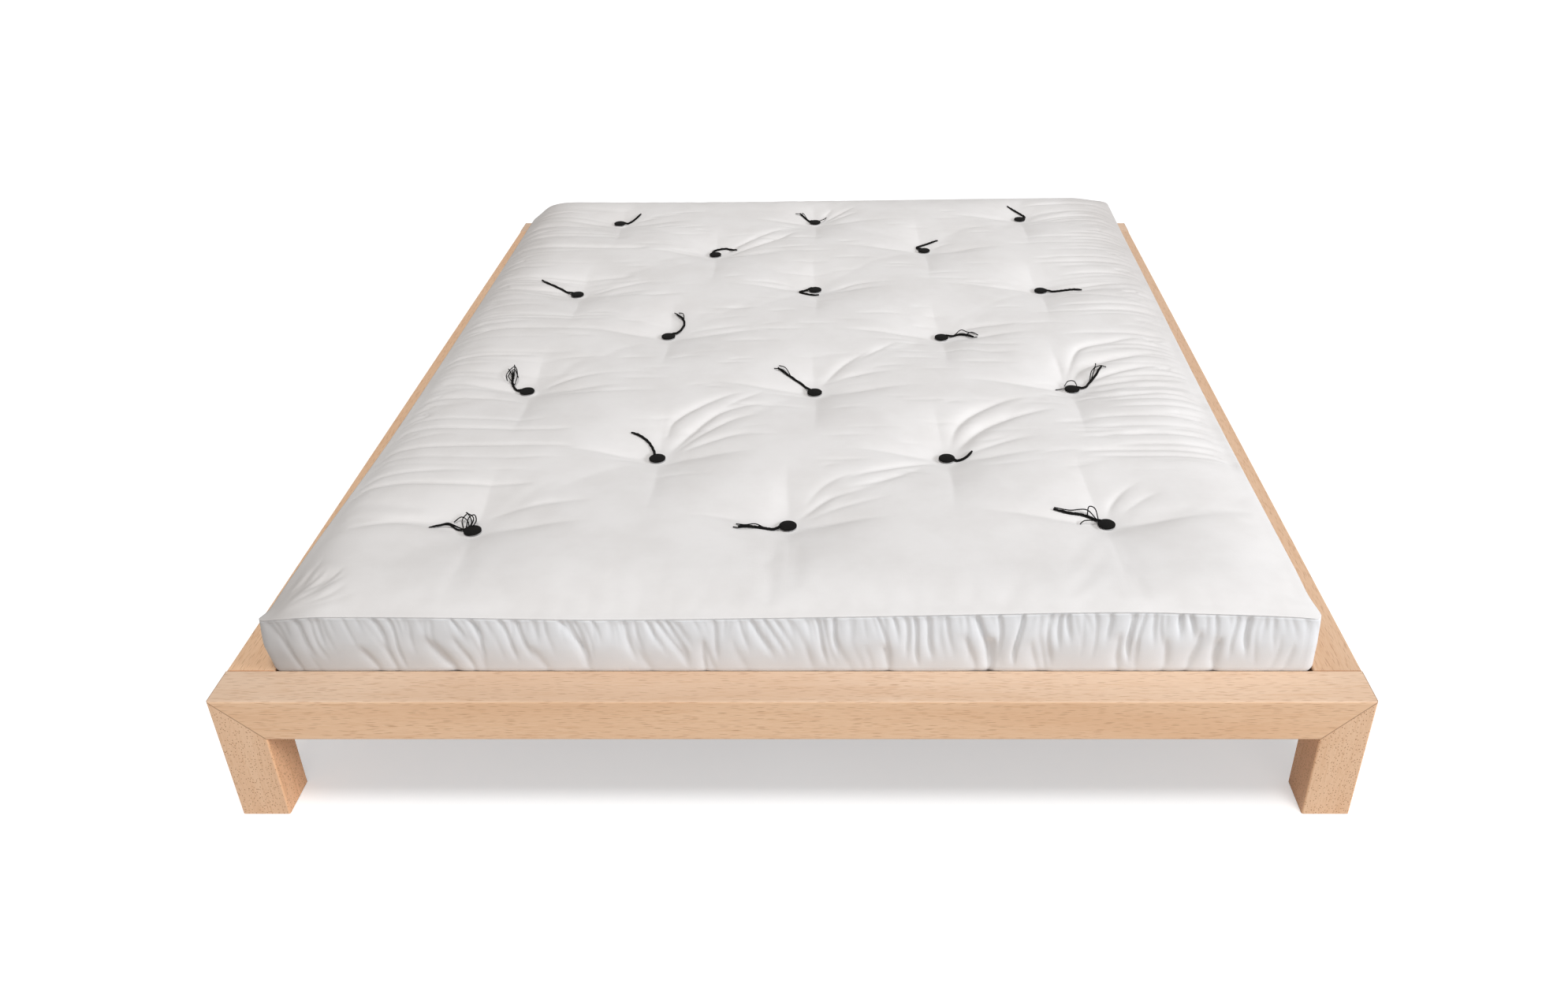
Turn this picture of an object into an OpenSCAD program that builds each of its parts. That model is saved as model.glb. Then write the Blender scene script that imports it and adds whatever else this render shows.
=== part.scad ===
// Low double bed: two mitred beech end frames, square side rails bolted between them,
// a slatted deck on ledgers and a centre beam, and a hand-tufted cotton futon.
// X runs across the bed, Y from the foot end to the head end, Z up from the floor.

/* [Futon] */
// Width of the futon
futon_w = 1600; // [1400:10:1800]
// Length of the futon
futon_l = 2000; // [1900:10:2200]
// Height of the border, from the base to the sewn top seam
futon_t = 130; // [100:5:180]
// Rise of the stuffed top between the tufts, above the seam
crown_h = 15; // [5:1:30]
// Distance from the edge over which the crown rises
crown_run = 120; // [60:5:200]
// Depth of a tuft below the seam
tuft_depth = 12; // [4:1:20]
// Reach of the pull around a tuft
tuft_reach = 70; // [50:5:100]
// Amount by which the long sides draw in at mid-length
side_draw = 5; // [0:1:12]
// Bulge of the stuffed border over the rails, beyond the sewn size
bulge = 8; // [2:1:14]
// Rounding of the four corners, seen from above
corner_r = 40; // [20:5:60]
// Inset of the base edge, where the border tucks under
base_inset = 14; // [6:1:24]
// Clearance between the sewn size and the rails on each side
futon_gap = 5; // [3:1:15]

/* [Tufts] */
// Distance from the left side to the first column of tufts
tuft_left_margin = 240; // [180:5:300]
// Distance from the right side to the last column of tufts
tuft_right_margin = 270; // [180:5:300]
// Distance from the foot end to the first row of tufts
tuft_foot_margin = 265; // [160:5:320]
// Distance from the head end to the last row of tufts
tuft_head_margin = 185; // [160:5:320]
// Diameter of a felt tuft pad
pad_d = 30; // [24:1:40]
// Thickness of a pad at its rim
pad_rim = 2; // [1:0.5:4]
// Rise of the pad's domed top above its rim
pad_dome = 2.5; // [0.5:0.5:4]
// Thickness of a pad under the futon
under_pad_t = 3; // [2:0.5:5]
// Diameter of the tufting cord
cord_d = 3.5; // [2:0.5:5]

/* [Frame] */
// Side of the square beech section of rails and legs
beam = 75; // [68:1:90]
// Height of the rails' top above the floor
frame_h = 230; // [200:5:320]
// Rounding of the long edges of rails and legs
edge_r = 3; // [1:0.5:6]
// Depth of the slats' top below the rails' top
slat_recess = 30; // [22:1:34]

/* [Mitre tenons] */
// Length of the loose tenon along the mitre
tenon_l = 52; // [40:1:54]
// Width of the loose tenon across the mitre
tenon_w = 30; // [24:1:32]
// Thickness of the loose tenon
tenon_t = 10; // [8:1:14]
// Distance of the tenon's middle from the outer face of the end frame
tenon_setback = 18; // [14:1:24]

/* [Corner bolts] */
// Diameter of the corner stud
stud_d = 8; // [6:1:10]
// Depth of the stud in the end rail
stud_grip = 42; // [30:1:45]
// Distance of the stud from the rail's inner face
stud_from_inner = 30; // [26:1:34]
// Distance of the stud below the rail's top
stud_from_top = 26; // [25:1:28]
// Diameter of the half-moon pocket
pocket_d = 32; // [28:1:34]
// Distance of the pocket's middle from the rail's end
pocket_setback = 50; // [40:1:70]
// Depth of the pocket past the stud
pocket_past = 13; // [11:1:20]
// Width of the half-moon washer along the pocket
moon_w = 16; // [12:1:20]
// Distance from the pocket's middle to the washer's flat
moon_flat = 4; // [2:1:6]
// Width across the flats of the corner nut
nut_af = 13; // [10:1:16]
// Height of the corner nut
nut_h = 6.5; // [5:0.5:8]
// Length of stud past the nut
stud_past_nut = 5; // [2:1:8]

/* [Locating dowels] */
// Diameter of a locating dowel
dowel_d = 10; // [8:1:12]
// Length of a locating dowel
dowel_l = 40; // [30:2:60]
// Distance of the leg's dowel from the outer face
leg_dowel_out = 18; // [12:1:22]
// Height of the leg's dowel above the rail's underside
leg_dowel_up = 20; // [12:1:24]
// Distance of the rail's dowel from the inner face
rail_dowel_in = 13; // [12:1:16]
// Distance of the rail's dowel below the top
rail_dowel_down = 42; // [38:1:44]

/* [Slatted deck] */
// Width of a slat
slat_w = 90; // [70:5:110]
// Thickness of a slat
slat_t = 18; // [14:1:22]
// Gap between a slat's end and the side rail
slat_end_gap = 3; // [1:0.5:6]
// Gap between the first slat and the end rail
slat_first_gap = 10; // [8:1:30]
// Rounding of a slat's long edges
slat_edge_r = 2; // [1:0.5:4]
// Width of a ledger
ledger_w = 30; // [24:1:40]
// Gap between a ledger's end and the end rail
ledger_end_gap = 1; // [0.5:0.5:5]

/* [Centre support] */
// Width of the centre beam
centre_w = 45; // [35:1:60]
// Height of the centre beam
centre_h = 60; // [40:1:80]
// Gap between the centre beam's end and the end rail
centre_end_gap = 1; // [0.5:0.5:5]
// Side of the square centre foot
foot_side = 60; // [45:1:90]
// Length of the stud in the centre foot and in the beam, each
foot_stud_grip = 35; // [25:1:36]
// Thickness of the steel beam hanger
hanger_t = 2.5; // [2:0.5:4]
// Reach of the hanger's cheeks along the beam
hanger_reach = 45; // [30:1:70]
// Width of a hanger's wing
wing_w = 28; // [20:1:40]
// Height of a hanger's wing
wing_h = 40; // [34:1:41]

/* [Screws] */
// Shank diameter of a slat screw
slat_screw_d = 4; // [3:0.5:5]
// Length of a slat screw
slat_screw_l = 40; // [30:1:43]
// Shank diameter of a ledger screw
ledger_screw_d = 5; // [4:0.5:6]
// Length of a ledger screw
ledger_screw_l = 50; // [40:1:70]
// Shank diameter of a hanger screw
hanger_screw_d = 4; // [3:0.5:4.5]
// Length of a hanger screw, without its head
hanger_screw_l = 30; // [20:1:45]

/* [Hidden] */

beech = [0.90, 0.74, 0.58];
pale_beech = [0.86, 0.72, 0.54];
steel = [0.72, 0.73, 0.75];
cotton = [0.90, 0.89, 0.87];
black_felt = [0.10, 0.10, 0.10];

round_fn = 32;
eps = 0.01; // overlap of joined shapes, so that no skin is left
past = 1; // by which a cut passes a face, or is deeper than what it holds
fit = 0.1; // glued or driven fit, all round
running = 0.3; // pieces that only lie against each other
screw_fit = 0.05; // a screw's radial fit in its hole
countersink = 0.3; // play round a countersunk head

// Frame layout, from the futon outwards
in_x = futon_w / 2 + futon_gap; // inner face of a side rail
in_y = futon_l / 2 + futon_gap; // inner face of an end rail
out_x = in_x + beam;
out_y = in_y + beam;
rail_bottom = frame_h - beam;
slat_top = frame_h - slat_recess;
slat_bottom = slat_top - slat_t;
ledger_h = slat_bottom - rail_bottom;

// Slats
slat_count = 14;
slat_first = -in_y + slat_first_gap + slat_w / 2;
slat_pitch = -2 * slat_first / (slat_count - 1);
slat_l = 2 * (in_x - slat_end_gap);
ledger_mid_x = in_x - ledger_w / 2;
ledger_mid_z = rail_bottom + ledger_h / 2;
function slat_y(i) = slat_first + i * slat_pitch;
ledger_screw_ys = [for (i = [0:2:slat_count - 2]) slat_y(i) + slat_pitch / 2];

// Corner fixings
stud_z = frame_h - stud_from_top;
stud_x = in_x + stud_from_inner;
pocket_y = in_y - pocket_setback;
nut_back = nut_h - moon_flat; // from the pocket's middle, away from the end rail
stud_back = pocket_y - nut_back - stud_past_nut;

// Centre support
centre_bottom = slat_bottom - centre_h;
wing_lift = 2; // of the wing above the end rail's underside
wing_bottom = rail_bottom + wing_lift;
wing_screw_in = 9; // from the wing's edge, up and down
cheek_drop = 2; // the cheeks stop this far below the slats
hanger_in = centre_w / 2 + running;
wing_x = hanger_in + hanger_t + wing_w / 2;

// Futon levels
base_z = slat_top + running;
seam_z = base_z + futon_t;
tuft_ring = pad_d; // first mesh line round a tuft

// Tufts lie on five columns and seven rows, three and two to a row in turn
column_count = 5;
row_count = 7;
column_pitch = (futon_w - tuft_left_margin - tuft_right_margin) / (column_count - 1);
row_pitch = (futon_l - tuft_foot_margin - tuft_head_margin) / (row_count - 1);
columns = [for (c = [0:column_count - 1]) -futon_w / 2 + tuft_left_margin + c * column_pitch];
rows = [for (r = [0:row_count - 1]) -futon_l / 2 + tuft_foot_margin + r * row_pitch];
lattice = [for (r = [0:row_count - 1], c = [r % 2:2:column_count - 1]) [columns[c], rows[r]]];
// The tufts are marked and sewn by hand: departure of each from the even lattice
tuft_shift = [
    [10, -15], [-5, 0], [-10, 5],
    [15, -25], [5, -25],
    [-15, -5], [25, -10], [5, 5],
    [-35, 10], [25, 5],
    [-10, -5], [10, 25], [5, 20],
    [20, 5], [10, 35],
    [10, -15], [-5, -5], [10, 20]
];
tufts = lattice + tuft_shift;
firm_r = 45; // the mesh moves with a tuft out to here
fade_r = 180; // and stays on its even lines from here

// Loose cord ends, as seen from above, from the pad outwards: one list for each tuft
tail_routes = [
    [[-10, 0], [-28, 6], [-44, 16], [-60, 12], [-72, 0]],
    [[-10, -4], [-28, -12], [-45, -14], [-64, -17], [-82, -22]],
    [[-8, 6], [-20, 18], [-38, 23], [-62, 22], [-88, 27]],
    [[-6, 8], [-10, 28], [-22, 50], [-40, 66], [-58, 74]],
    [[8, -6], [24, -4], [38, 6], [48, 20]],
    [[-10, 0], [-24, 6], [-34, 22], [-38, 44], [-42, 66]],
    [[-8, 6], [-22, 26], [-42, 43], [-60, 60], [-78, 80]],
    [[10, 2], [28, 10], [42, 30], [58, 54], [72, 80]],
    [[8, 6], [24, 28], [30, 52], [22, 78], [8, 95]],
    [[10, 4], [28, 9], [42, 9], [56, 0], [70, -10]],
    [[-10, 4], [-32, 14], [-54, 24], [-76, 38], [-95, 58]],
    [[-8, 6], [-26, -4], [-36, -25], [-16, -34], [10, -34]],
    [[10, -2], [32, -5], [52, -5], [74, -8], [96, -15]],
    [[-6, 8], [-8, 24], [4, 36], [28, 36], [54, 20]],
    [[-8, 6], [-18, 22], [-4, 36], [16, 44], [38, 52]],
    [[10, 0], [26, 6], [40, 20], [52, 45]],
    [[-8, 4], [-20, 16], [-32, 30], [-42, 44]],
    [[10, 4], [16, 20], [4, 40], [-10, 60], [-27, 80]]
];
tail_clearance = 1.2; // between a loose end and the meshed cloth
tail_height = cord_d / 2 + tail_clearance;
tube_sides = 8;

// Rectangle with round corners, centred
module rounded_section(w, h, r) {
    square([w - 2 * r, h], center = true);
    square([w, h - 2 * r], center = true);
    for (x = [-1, 1], y = [-1, 1])
        translate([x * (w / 2 - r), y * (h / 2 - r)]) circle(r, $fn = round_fn);
}

// Bar along Y from its middle, with rounded long edges
module bar_y(w, h, l, r) {
    rotate([90, 0, 0]) linear_extrude(l, center = true) rounded_section(w, h, r);
}

// Slot shape with round ends, centred
module slot_section(l, w) {
    square([l - w, w], center = true);
    for (x = [-1, 1]) translate([x * (l - w) / 2, 0]) circle(w / 2, $fn = round_fn);
}

// Rod along Y, between two values of y
module rod_y(d, y0, y1) {
    translate([0, min(y0, y1), 0]) rotate([-90, 0, 0])
        cylinder(d = d, h = abs(y1 - y0), $fn = round_fn);
}

// Countersunk screw, head at the origin's plane, pointing down -Z
module countersunk_screw(d, l) {
    rotate([180, 0, 0]) rotate_extrude($fn = round_fn)
        polygon([[0, 0], [d, 0], [d / 2, d / 2], [d / 2, l - d], [0, l]]);
}

// Clearance hole for that screw, through a piece as thick as `through`
module countersunk_hole(d, through) {
    cylinder(d = d + 2 * screw_fit, h = 2 * through, center = true, $fn = round_fn);
    rotate([180, 0, 0]) translate([0, 0, -countersink])
        cylinder(r1 = d + 2 * countersink, r2 = d / 2, h = d / 2 + 2 * countersink, $fn = round_fn);
}

// Pan-head screw, underside of the head at the origin's plane, pointing down -Z
module pan_screw(d, l) {
    rotate_extrude($fn = round_fn)
        polygon([[0, -l], [d / 2, d - l], [d / 2, 0], [d, 0], [d, d / 4], [d / 2, d / 2], [0, d / 2]]);
}

// Loose tenon across one mitre; `play` and `room` open it into its mortise
module mitre_tenon(sx, sy, play = 0, room = 0) {
    mirror([sx < 0 ? 1 : 0, 0, 0])
        translate([in_x + beam / 2, sy * (out_y - tenon_setback), frame_h - beam / 2])
            rotate([0, -45, 0])
                linear_extrude(tenon_w + room, center = true)
                    slot_section(tenon_l + 2 * play, tenon_t + 2 * play);
}

// Bore for the corner stud, in the end rail and in the side rail
module stud_bores(sy) {
    for (sx = [-1, 1]) translate([sx * stud_x, 0, stud_z])
        rod_y(stud_d + 2 * fit, sy * stud_back, sy * (in_y + stud_grip + past));
}

// Locating dowel along Y across an end rail's inner plane, or its bore
module dowel_at(x, z, sy, play = 0, room = 0) {
    half = dowel_l / 2 + room;
    translate([x, 0, z]) rod_y(dowel_d + 2 * play, sy * (in_y - half), sy * (in_y + half));
}

// The two dowels of one corner: one into the leg, one into the end rail
module corner_dowels(sx, sy, play = 0, room = 0) {
    dowel_at(sx * (out_x - leg_dowel_out), rail_bottom + leg_dowel_up, sy, play, room);
    dowel_at(sx * (in_x + rail_dowel_in), frame_h - rail_dowel_down, sy, play, room);
}

// Pilot holes for the screws of a beam hanger
module hanger_pilots(sy) {
    for (sx = [-1, 1], up = [wing_screw_in, wing_h - wing_screw_in])
        translate([sx * wing_x, 0, wing_bottom + up])
            rod_y(hanger_screw_d + 2 * screw_fit, sy * (in_y - past), sy * (in_y + hanger_screw_l + past));
}

module end_rail(sy) {
    color(beech) difference() {
        intersection() {
            translate([0, sy * (in_y + beam / 2), frame_h - beam / 2]) rotate([0, 0, 90])
                bar_y(beam, beam, 2 * out_x, edge_r);
            translate([0, sy * (in_y + beam / 2), 0]) rotate([90, 0, 0])
                linear_extrude(beam + 2 * past, center = true)
                    polygon([
                        [-out_x, frame_h], [out_x, frame_h], [in_x, rail_bottom], [-in_x, rail_bottom]
                    ]);
        }
        for (sx = [-1, 1]) {
            mitre_tenon(sx, sy, fit, past);
            dowel_at(sx * (in_x + rail_dowel_in), frame_h - rail_dowel_down, sy, fit, past);
        }
        stud_bores(sy);
        hanger_pilots(sy);
    }
}

module leg(sx, sy) {
    color(beech) difference() {
        intersection() {
            translate([sx * (in_x + beam / 2), sy * (in_y + beam / 2), 0])
                linear_extrude(frame_h) rounded_section(beam, beam, edge_r);
            translate([0, sy * (in_y + beam / 2), 0]) rotate([90, 0, 0])
                linear_extrude(beam + 2 * past, center = true)
                    polygon([
                        [sx * in_x, 0], [sx * out_x, 0], [sx * out_x, frame_h], [sx * in_x, rail_bottom]
                    ]);
        }
        mitre_tenon(sx, sy, fit, past);
        dowel_at(sx * (out_x - leg_dowel_out), rail_bottom + leg_dowel_up, sy, fit, past);
    }
}

module mitre_tenons() {
    color(pale_beech) for (sx = [-1, 1], sy = [-1, 1]) mitre_tenon(sx, sy);
}

module side_rail(sx) {
    color(beech) difference() {
        translate([sx * (in_x + beam / 2), 0, frame_h - beam / 2]) bar_y(beam, beam, 2 * in_y, edge_r);
        for (sy = [-1, 1]) {
            stud_bores(sy);
            corner_dowels(sx, sy, fit, past);
            translate([sx * in_x, sy * pocket_y, stud_z]) rotate([0, sx * 90, 0]) translate([0, 0, -past])
                cylinder(d = pocket_d, h = stud_from_inner + pocket_past + past, $fn = 2 * round_fn);
        }
        for (y = ledger_screw_ys)
            translate([sx * (in_x - past), y, ledger_mid_z]) rotate([0, sx * 90, 0])
                cylinder(
                    d = ledger_screw_d + 2 * screw_fit,
                    h = ledger_screw_l - ledger_w + 2 * past, $fn = round_fn);
    }
}

module corner_studs() {
    color(steel) for (sx = [-1, 1], sy = [-1, 1])
        translate([sx * stud_x, 0, stud_z]) rod_y(stud_d, sy * stud_back, sy * (in_y + stud_grip));
}

// Half-moon washer: its round back bears on the pocket's wall, its flat takes the nut
module half_moon_washers() {
    color(steel) for (sx = [-1, 1], sy = [-1, 1])
        translate([sx * stud_x, sy * pocket_y, stud_z]) difference() {
            rotate([0, 90, 0])
                cylinder(d = pocket_d - 2 * running, h = moon_w, center = true, $fn = 2 * round_fn);
            translate([0, sy * (moon_flat - pocket_d), 0]) cube(2 * pocket_d, center = true);
            rod_y(stud_d + 2 * fit, -pocket_d, pocket_d);
        }
}

module corner_nuts() {
    color(steel) for (sx = [-1, 1], sy = [-1, 1])
        translate([sx * stud_x, sy * pocket_y, stud_z]) difference() {
            rotate([sy * 90, 0, 0]) translate([0, 0, -moon_flat])
                cylinder(d = nut_af / cos(30), h = nut_h, $fn = 6);
            rod_y(stud_d + 2 * fit, -pocket_d, pocket_d);
        }
}

module locating_dowels() {
    color(beech) for (sx = [-1, 1], sy = [-1, 1]) corner_dowels(sx, sy);
}

module ledger(sx) {
    color(beech) difference() {
        translate([sx * ledger_mid_x, 0, ledger_mid_z])
            bar_y(ledger_w, ledger_h, 2 * (in_y - ledger_end_gap), slat_edge_r);
        for (y = ledger_screw_ys)
            translate([sx * (in_x - ledger_w), y, ledger_mid_z]) rotate([0, -sx * 90, 0])
                countersunk_hole(ledger_screw_d, ledger_w);
        for (i = [0:slat_count - 1])
            translate([sx * ledger_mid_x, slat_y(i), slat_top - slat_screw_l - past])
                cylinder(d = slat_screw_d + 2 * screw_fit, h = slat_screw_l, $fn = round_fn);
    }
}

module ledger_screws() {
    color(steel) for (sx = [-1, 1], y = ledger_screw_ys)
        translate([sx * (in_x - ledger_w), y, ledger_mid_z]) rotate([0, -sx * 90, 0])
            countersunk_screw(ledger_screw_d, ledger_screw_l);
}

module slat(i) {
    color(beech) difference() {
        translate([0, slat_y(i), slat_top - slat_t / 2]) rotate([0, 0, 90])
            bar_y(slat_w, slat_t, slat_l, slat_edge_r);
        for (sx = [-1, 1])
            translate([sx * ledger_mid_x, slat_y(i), slat_top]) countersunk_hole(slat_screw_d, slat_t);
    }
}

module slat_screws() {
    color(steel) for (sx = [-1, 1], i = [0:slat_count - 1])
        translate([sx * ledger_mid_x, slat_y(i), slat_top]) countersunk_screw(slat_screw_d, slat_screw_l);
}

module centre_beam() {
    color(beech) difference() {
        translate([0, 0, centre_bottom + centre_h / 2])
            bar_y(centre_w, centre_h, 2 * (in_y - centre_end_gap), slat_edge_r);
        translate([0, 0, centre_bottom - past])
            cylinder(d = stud_d + 2 * fit, h = foot_stud_grip + 2 * past, $fn = round_fn);
    }
}

module centre_foot() {
    color(beech) difference() {
        linear_extrude(centre_bottom) rounded_section(foot_side, foot_side, edge_r);
        translate([0, 0, centre_bottom - foot_stud_grip - past])
            cylinder(d = stud_d + 2 * fit, h = foot_stud_grip + 2 * past, $fn = round_fn);
    }
}

module centre_foot_stud() {
    color(steel) translate([0, 0, centre_bottom - foot_stud_grip])
        cylinder(d = stud_d, h = 2 * foot_stud_grip, $fn = round_fn);
}

// Bent steel hanger: a floor and two cheeks round the beam, two wings on the end rail
module beam_hanger(sy) {
    cheek_h = slat_bottom - cheek_drop - centre_bottom + hanger_t;
    color(steel) difference() {
        for (sx = [-1, 1]) {
            translate([sx * (hanger_in + hanger_t / 2), sy * (in_y - hanger_reach / 2),
                centre_bottom - hanger_t + cheek_h / 2])
                cube([hanger_t, hanger_reach, cheek_h], center = true);
            translate([sx * (hanger_in + (hanger_t + wing_w) / 2), sy * (in_y - hanger_t / 2),
                wing_bottom + wing_h / 2])
                cube([wing_w + hanger_t, hanger_t, wing_h], center = true);
            translate([0, sy * (in_y - hanger_reach / 2), centre_bottom - hanger_t / 2])
                cube([2 * hanger_in + eps, hanger_reach, hanger_t], center = true);
        }
        for (sx = [-1, 1], up = [wing_screw_in, wing_h - wing_screw_in])
            translate([sx * wing_x, 0, wing_bottom + up])
                rod_y(hanger_screw_d + 2 * screw_fit, sy * (in_y - 2 * hanger_t), sy * (in_y + past));
    }
}

module hanger_screws() {
    color(steel) for (sx = [-1, 1], sy = [-1, 1], up = [wing_screw_in, wing_h - wing_screw_in])
        translate([sx * wing_x, sy * (in_y - hanger_t), wing_bottom + up]) rotate([sy * 90, 0, 0])
            pan_screw(hanger_screw_d, hanger_screw_l);
}

// Mesh lines along one axis: two for the rounded edge, one in the border, then three lines
// at each tuft with one between neighbours
function mesh_lines(half, t) = [
    -half, corner_r - half, (t[0] - tuft_ring + corner_r - half) / 2,
    for (i = [0:len(t) - 1]) each concat(
        [t[i] - tuft_ring, t[i], t[i] + tuft_ring],
        i < len(t) - 1 ? [(t[i] + t[i + 1]) / 2] : []),
    (t[len(t) - 1] + tuft_ring + half - corner_r) / 2, half - corner_r, half
];
xs = mesh_lines(futon_w / 2, columns);
ys = mesh_lines(futon_l / 2, rows);
nx = len(xs);
ny = len(ys);

// Rise of the crown from nought at an edge to one, crown_run inside it
function crown_share(d) = 1 - pow(1 - min(1, max(0, d) / crown_run), 2);
function crown(x, y) = crown_h * crown_share(futon_w / 2 - abs(x)) * crown_share(futon_l / 2 - abs(y));
function add(v, nought = 0, i = 0) = i < len(v) ? v[i] + add(v, nought, i + 1) : nought;
function tuft_pull(x, y) = add([for (t = tufts) exp(-norm([x - t[0], y - t[1]]) / tuft_reach)]);
// Height of the stuffed top; the pull fades to nothing at the sewn seam
function top_z(x, y) = seam_z + crown(x, y)
    - (crown_h + tuft_depth) * min(1, tuft_pull(x, y))
        * crown_share(futon_w / 2 - abs(x)) * crown_share(futon_l / 2 - abs(y));

// Border rings, from the seam down: height above the base and inset from the sewn size.
// The border clears the rails up to their top, and bulges over them above it.
bulge_share = 0.6; // of the border's height, up to its widest line
rail_clearance = 2; // above the rails' top, where the bulge begins
border_rings = [
    [futon_t, -bulge / 2], [bulge_share * futon_t, -bulge],
    [slat_recess + rail_clearance, -futon_gap / 2], [0, base_inset]
];
corner_cut = corner_r * (1 - cos(45));
function outline(x, y, inset) =
    let (cut = inset + (abs(x) == futon_w / 2 && abs(y) == futon_l / 2 ? corner_cut : 0))
    [
        abs(x) < futon_w / 2 ? x : sign(x) * (abs(x) - cut - side_draw * cos(180 * y / futon_l)),
        abs(y) < futon_l / 2 ? y : sign(y) * (abs(y) - cut)
    ];

// Points of the top: the lines pass through the even lattice, and each tuft carries its
// surroundings along to where it is sewn
function on_edge(i, j) = i == 0 || j == 0 || i == nx - 1 || j == ny - 1;
function carried(p) = p + add([for (k = [0:len(lattice) - 1])
    tuft_shift[k] * max(0, min(1, (fade_r - norm(p - lattice[k])) / (fade_r - firm_r)))], [0, 0]);
function top_point(i, j) =
    let (p = on_edge(i, j) ? outline(xs[i], ys[j], border_rings[0][1]) : carried([xs[i], ys[j]]))
    [p[0], p[1], on_edge(i, j) ? seam_z : top_z(p[0], p[1])];
top = [for (j = [0:ny - 1]) [for (i = [0:nx - 1]) top_point(i, j)]];

// A cell's diagonal runs towards its nearest tuft or corner, so that the folds meet there
function past_tuft(i) = i % 4 < 2;
function diagonal_up(i, j) = past_tuft(i) == past_tuft(j);

function cell_faces(i, j) =
    let (a = top[j][i], b = top[j][i + 1], c = top[j + 1][i], d = top[j + 1][i + 1])
    diagonal_up(i, j) ? [[a, d, c], [a, b, d]] : [[a, b, c], [b, d, c]];

// Height of the meshed top at a point, looked for in the cells round its place on the lattice
function cell_of(v, lines, i = 0) = i >= len(lines) - 2 || v < lines[i + 1] ? i : cell_of(v, lines, i + 1);
function flat(v) = [v[0], v[1]];
function face_z(p, f) =
    let (
        e = flat(f[1] - f[0]), g = flat(f[2] - f[0]), q = p - flat(f[0]),
        u = cross(q, g) / cross(e, g), v = cross(e, q) / cross(e, g)
    )
    min(u, v, 1 - u - v) > -eps ? f[0][2] + u * (f[1][2] - f[0][2]) + v * (f[2][2] - f[0][2]) : 0;
function mesh_z(x, y) =
    let (ci = cell_of(x, xs), cj = cell_of(y, ys))
    max([for (i = [max(0, ci - 2):min(nx - 2, ci + 2)], j = [max(0, cj - 2):min(ny - 2, cj + 2)])
        for (f = cell_faces(i, j)) face_z([x, y], f)]);

// Indices of the mesh's border, anticlockwise from above
border = concat(
    [for (i = [0:nx - 2]) [i, 0]], [for (j = [0:ny - 2]) [nx - 1, j]],
    [for (i = [nx - 1:-1:1]) [i, ny - 1]], [for (j = [ny - 1:-1:1]) [0, j]]);
border_n = len(border);
top_points = [for (line = top) each line];
ring_points = [for (r = [1:len(border_rings) - 1], b = border)
    let (p = outline(xs[b[0]], ys[b[1]], border_rings[r][1]))
    [p[0], p[1], base_z + border_rings[r][0]]];
// Index of border point k on ring r; ring 0 is the seam, in the top mesh
function ring_index(r, k) = let (m = k % border_n)
    r == 0 ? border[m][1] * nx + border[m][0] : nx * ny + (r - 1) * border_n + m;

module futon() {
    centre = nx * ny + (len(border_rings) - 1) * border_n;
    color(cotton) polyhedron(
        points = concat(top_points, ring_points, [[0, 0, base_z]]),
        faces = [
            for (j = [0:ny - 2], i = [0:nx - 2])
                let (a = j * nx + i, b = a + 1, c = a + nx, d = c + 1)
                each diagonal_up(i, j) ? [[a, c, d], [a, d, b]] : [[a, c, b], [b, c, d]],
            for (r = [0:len(border_rings) - 2], k = [0:border_n - 1])
                each [
                    [ring_index(r, k), ring_index(r, k + 1), ring_index(r + 1, k + 1)],
                    [ring_index(r, k), ring_index(r + 1, k + 1), ring_index(r + 1, k)]
                ],
            for (k = [0:border_n - 1])
                [ring_index(len(border_rings) - 1, k), ring_index(len(border_rings) - 1, k + 1), centre]
        ]);
}

// A pad's conical underside follows the steepest side of its dimple
function tip_z(t) = top_z(t[0], t[1]) + running;
function rim_rise(t) = max([for (a = [0:15:345])
    mesh_z(t[0] + pad_d / 2 * cos(a), t[1] + pad_d / 2 * sin(a))]) - top_z(t[0], t[1]);

// Felt disc with a domed top, its tip at the origin
module tuft_pad(rise) {
    dome = [for (a = [22.5:22.5:90]) [pad_d / 2 * cos(a), rise + pad_rim + pad_dome * sin(a)]];
    rotate_extrude($fn = round_fn)
        polygon(concat([[0, 0], [pad_d / 2, rise], [pad_d / 2, rise + pad_rim]], dome));
}

module tuft_pads_top() {
    color(black_felt) for (t = tufts) translate([t[0], t[1], tip_z(t)]) tuft_pad(rim_rise(t));
}

module tuft_pads_under() {
    color(black_felt) for (t = tufts) translate([t[0], t[1], base_z])
        cylinder(d = pad_d, h = under_pad_t, $fn = round_fn);
}

module tuft_stitches() {
    color(black_felt) for (t = tufts) translate([t[0], t[1], base_z + under_pad_t])
        cylinder(d = cord_d, h = tip_z(t) - base_z - under_pad_t - running, $fn = round_fn);
}

// Points of one loose end: it leaves the pad at its rim and then lies on the cloth
function tail_points(k) = [for (i = [0:len(tail_routes[k]) - 1])
    let (x = tufts[k][0] + tail_routes[k][i][0], y = tufts[k][1] + tail_routes[k][i][1])
    [x, y, i == 0 ? tip_z(tufts[k]) + rim_rise(tufts[k]) + pad_rim / 2 : mesh_z(x, y) + tail_height]];
function unit(v) = v / norm(v);
function heading(p, i) = unit(p[min(i + 1, len(p) - 1)] - p[max(i - 1, 0)]);

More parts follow.
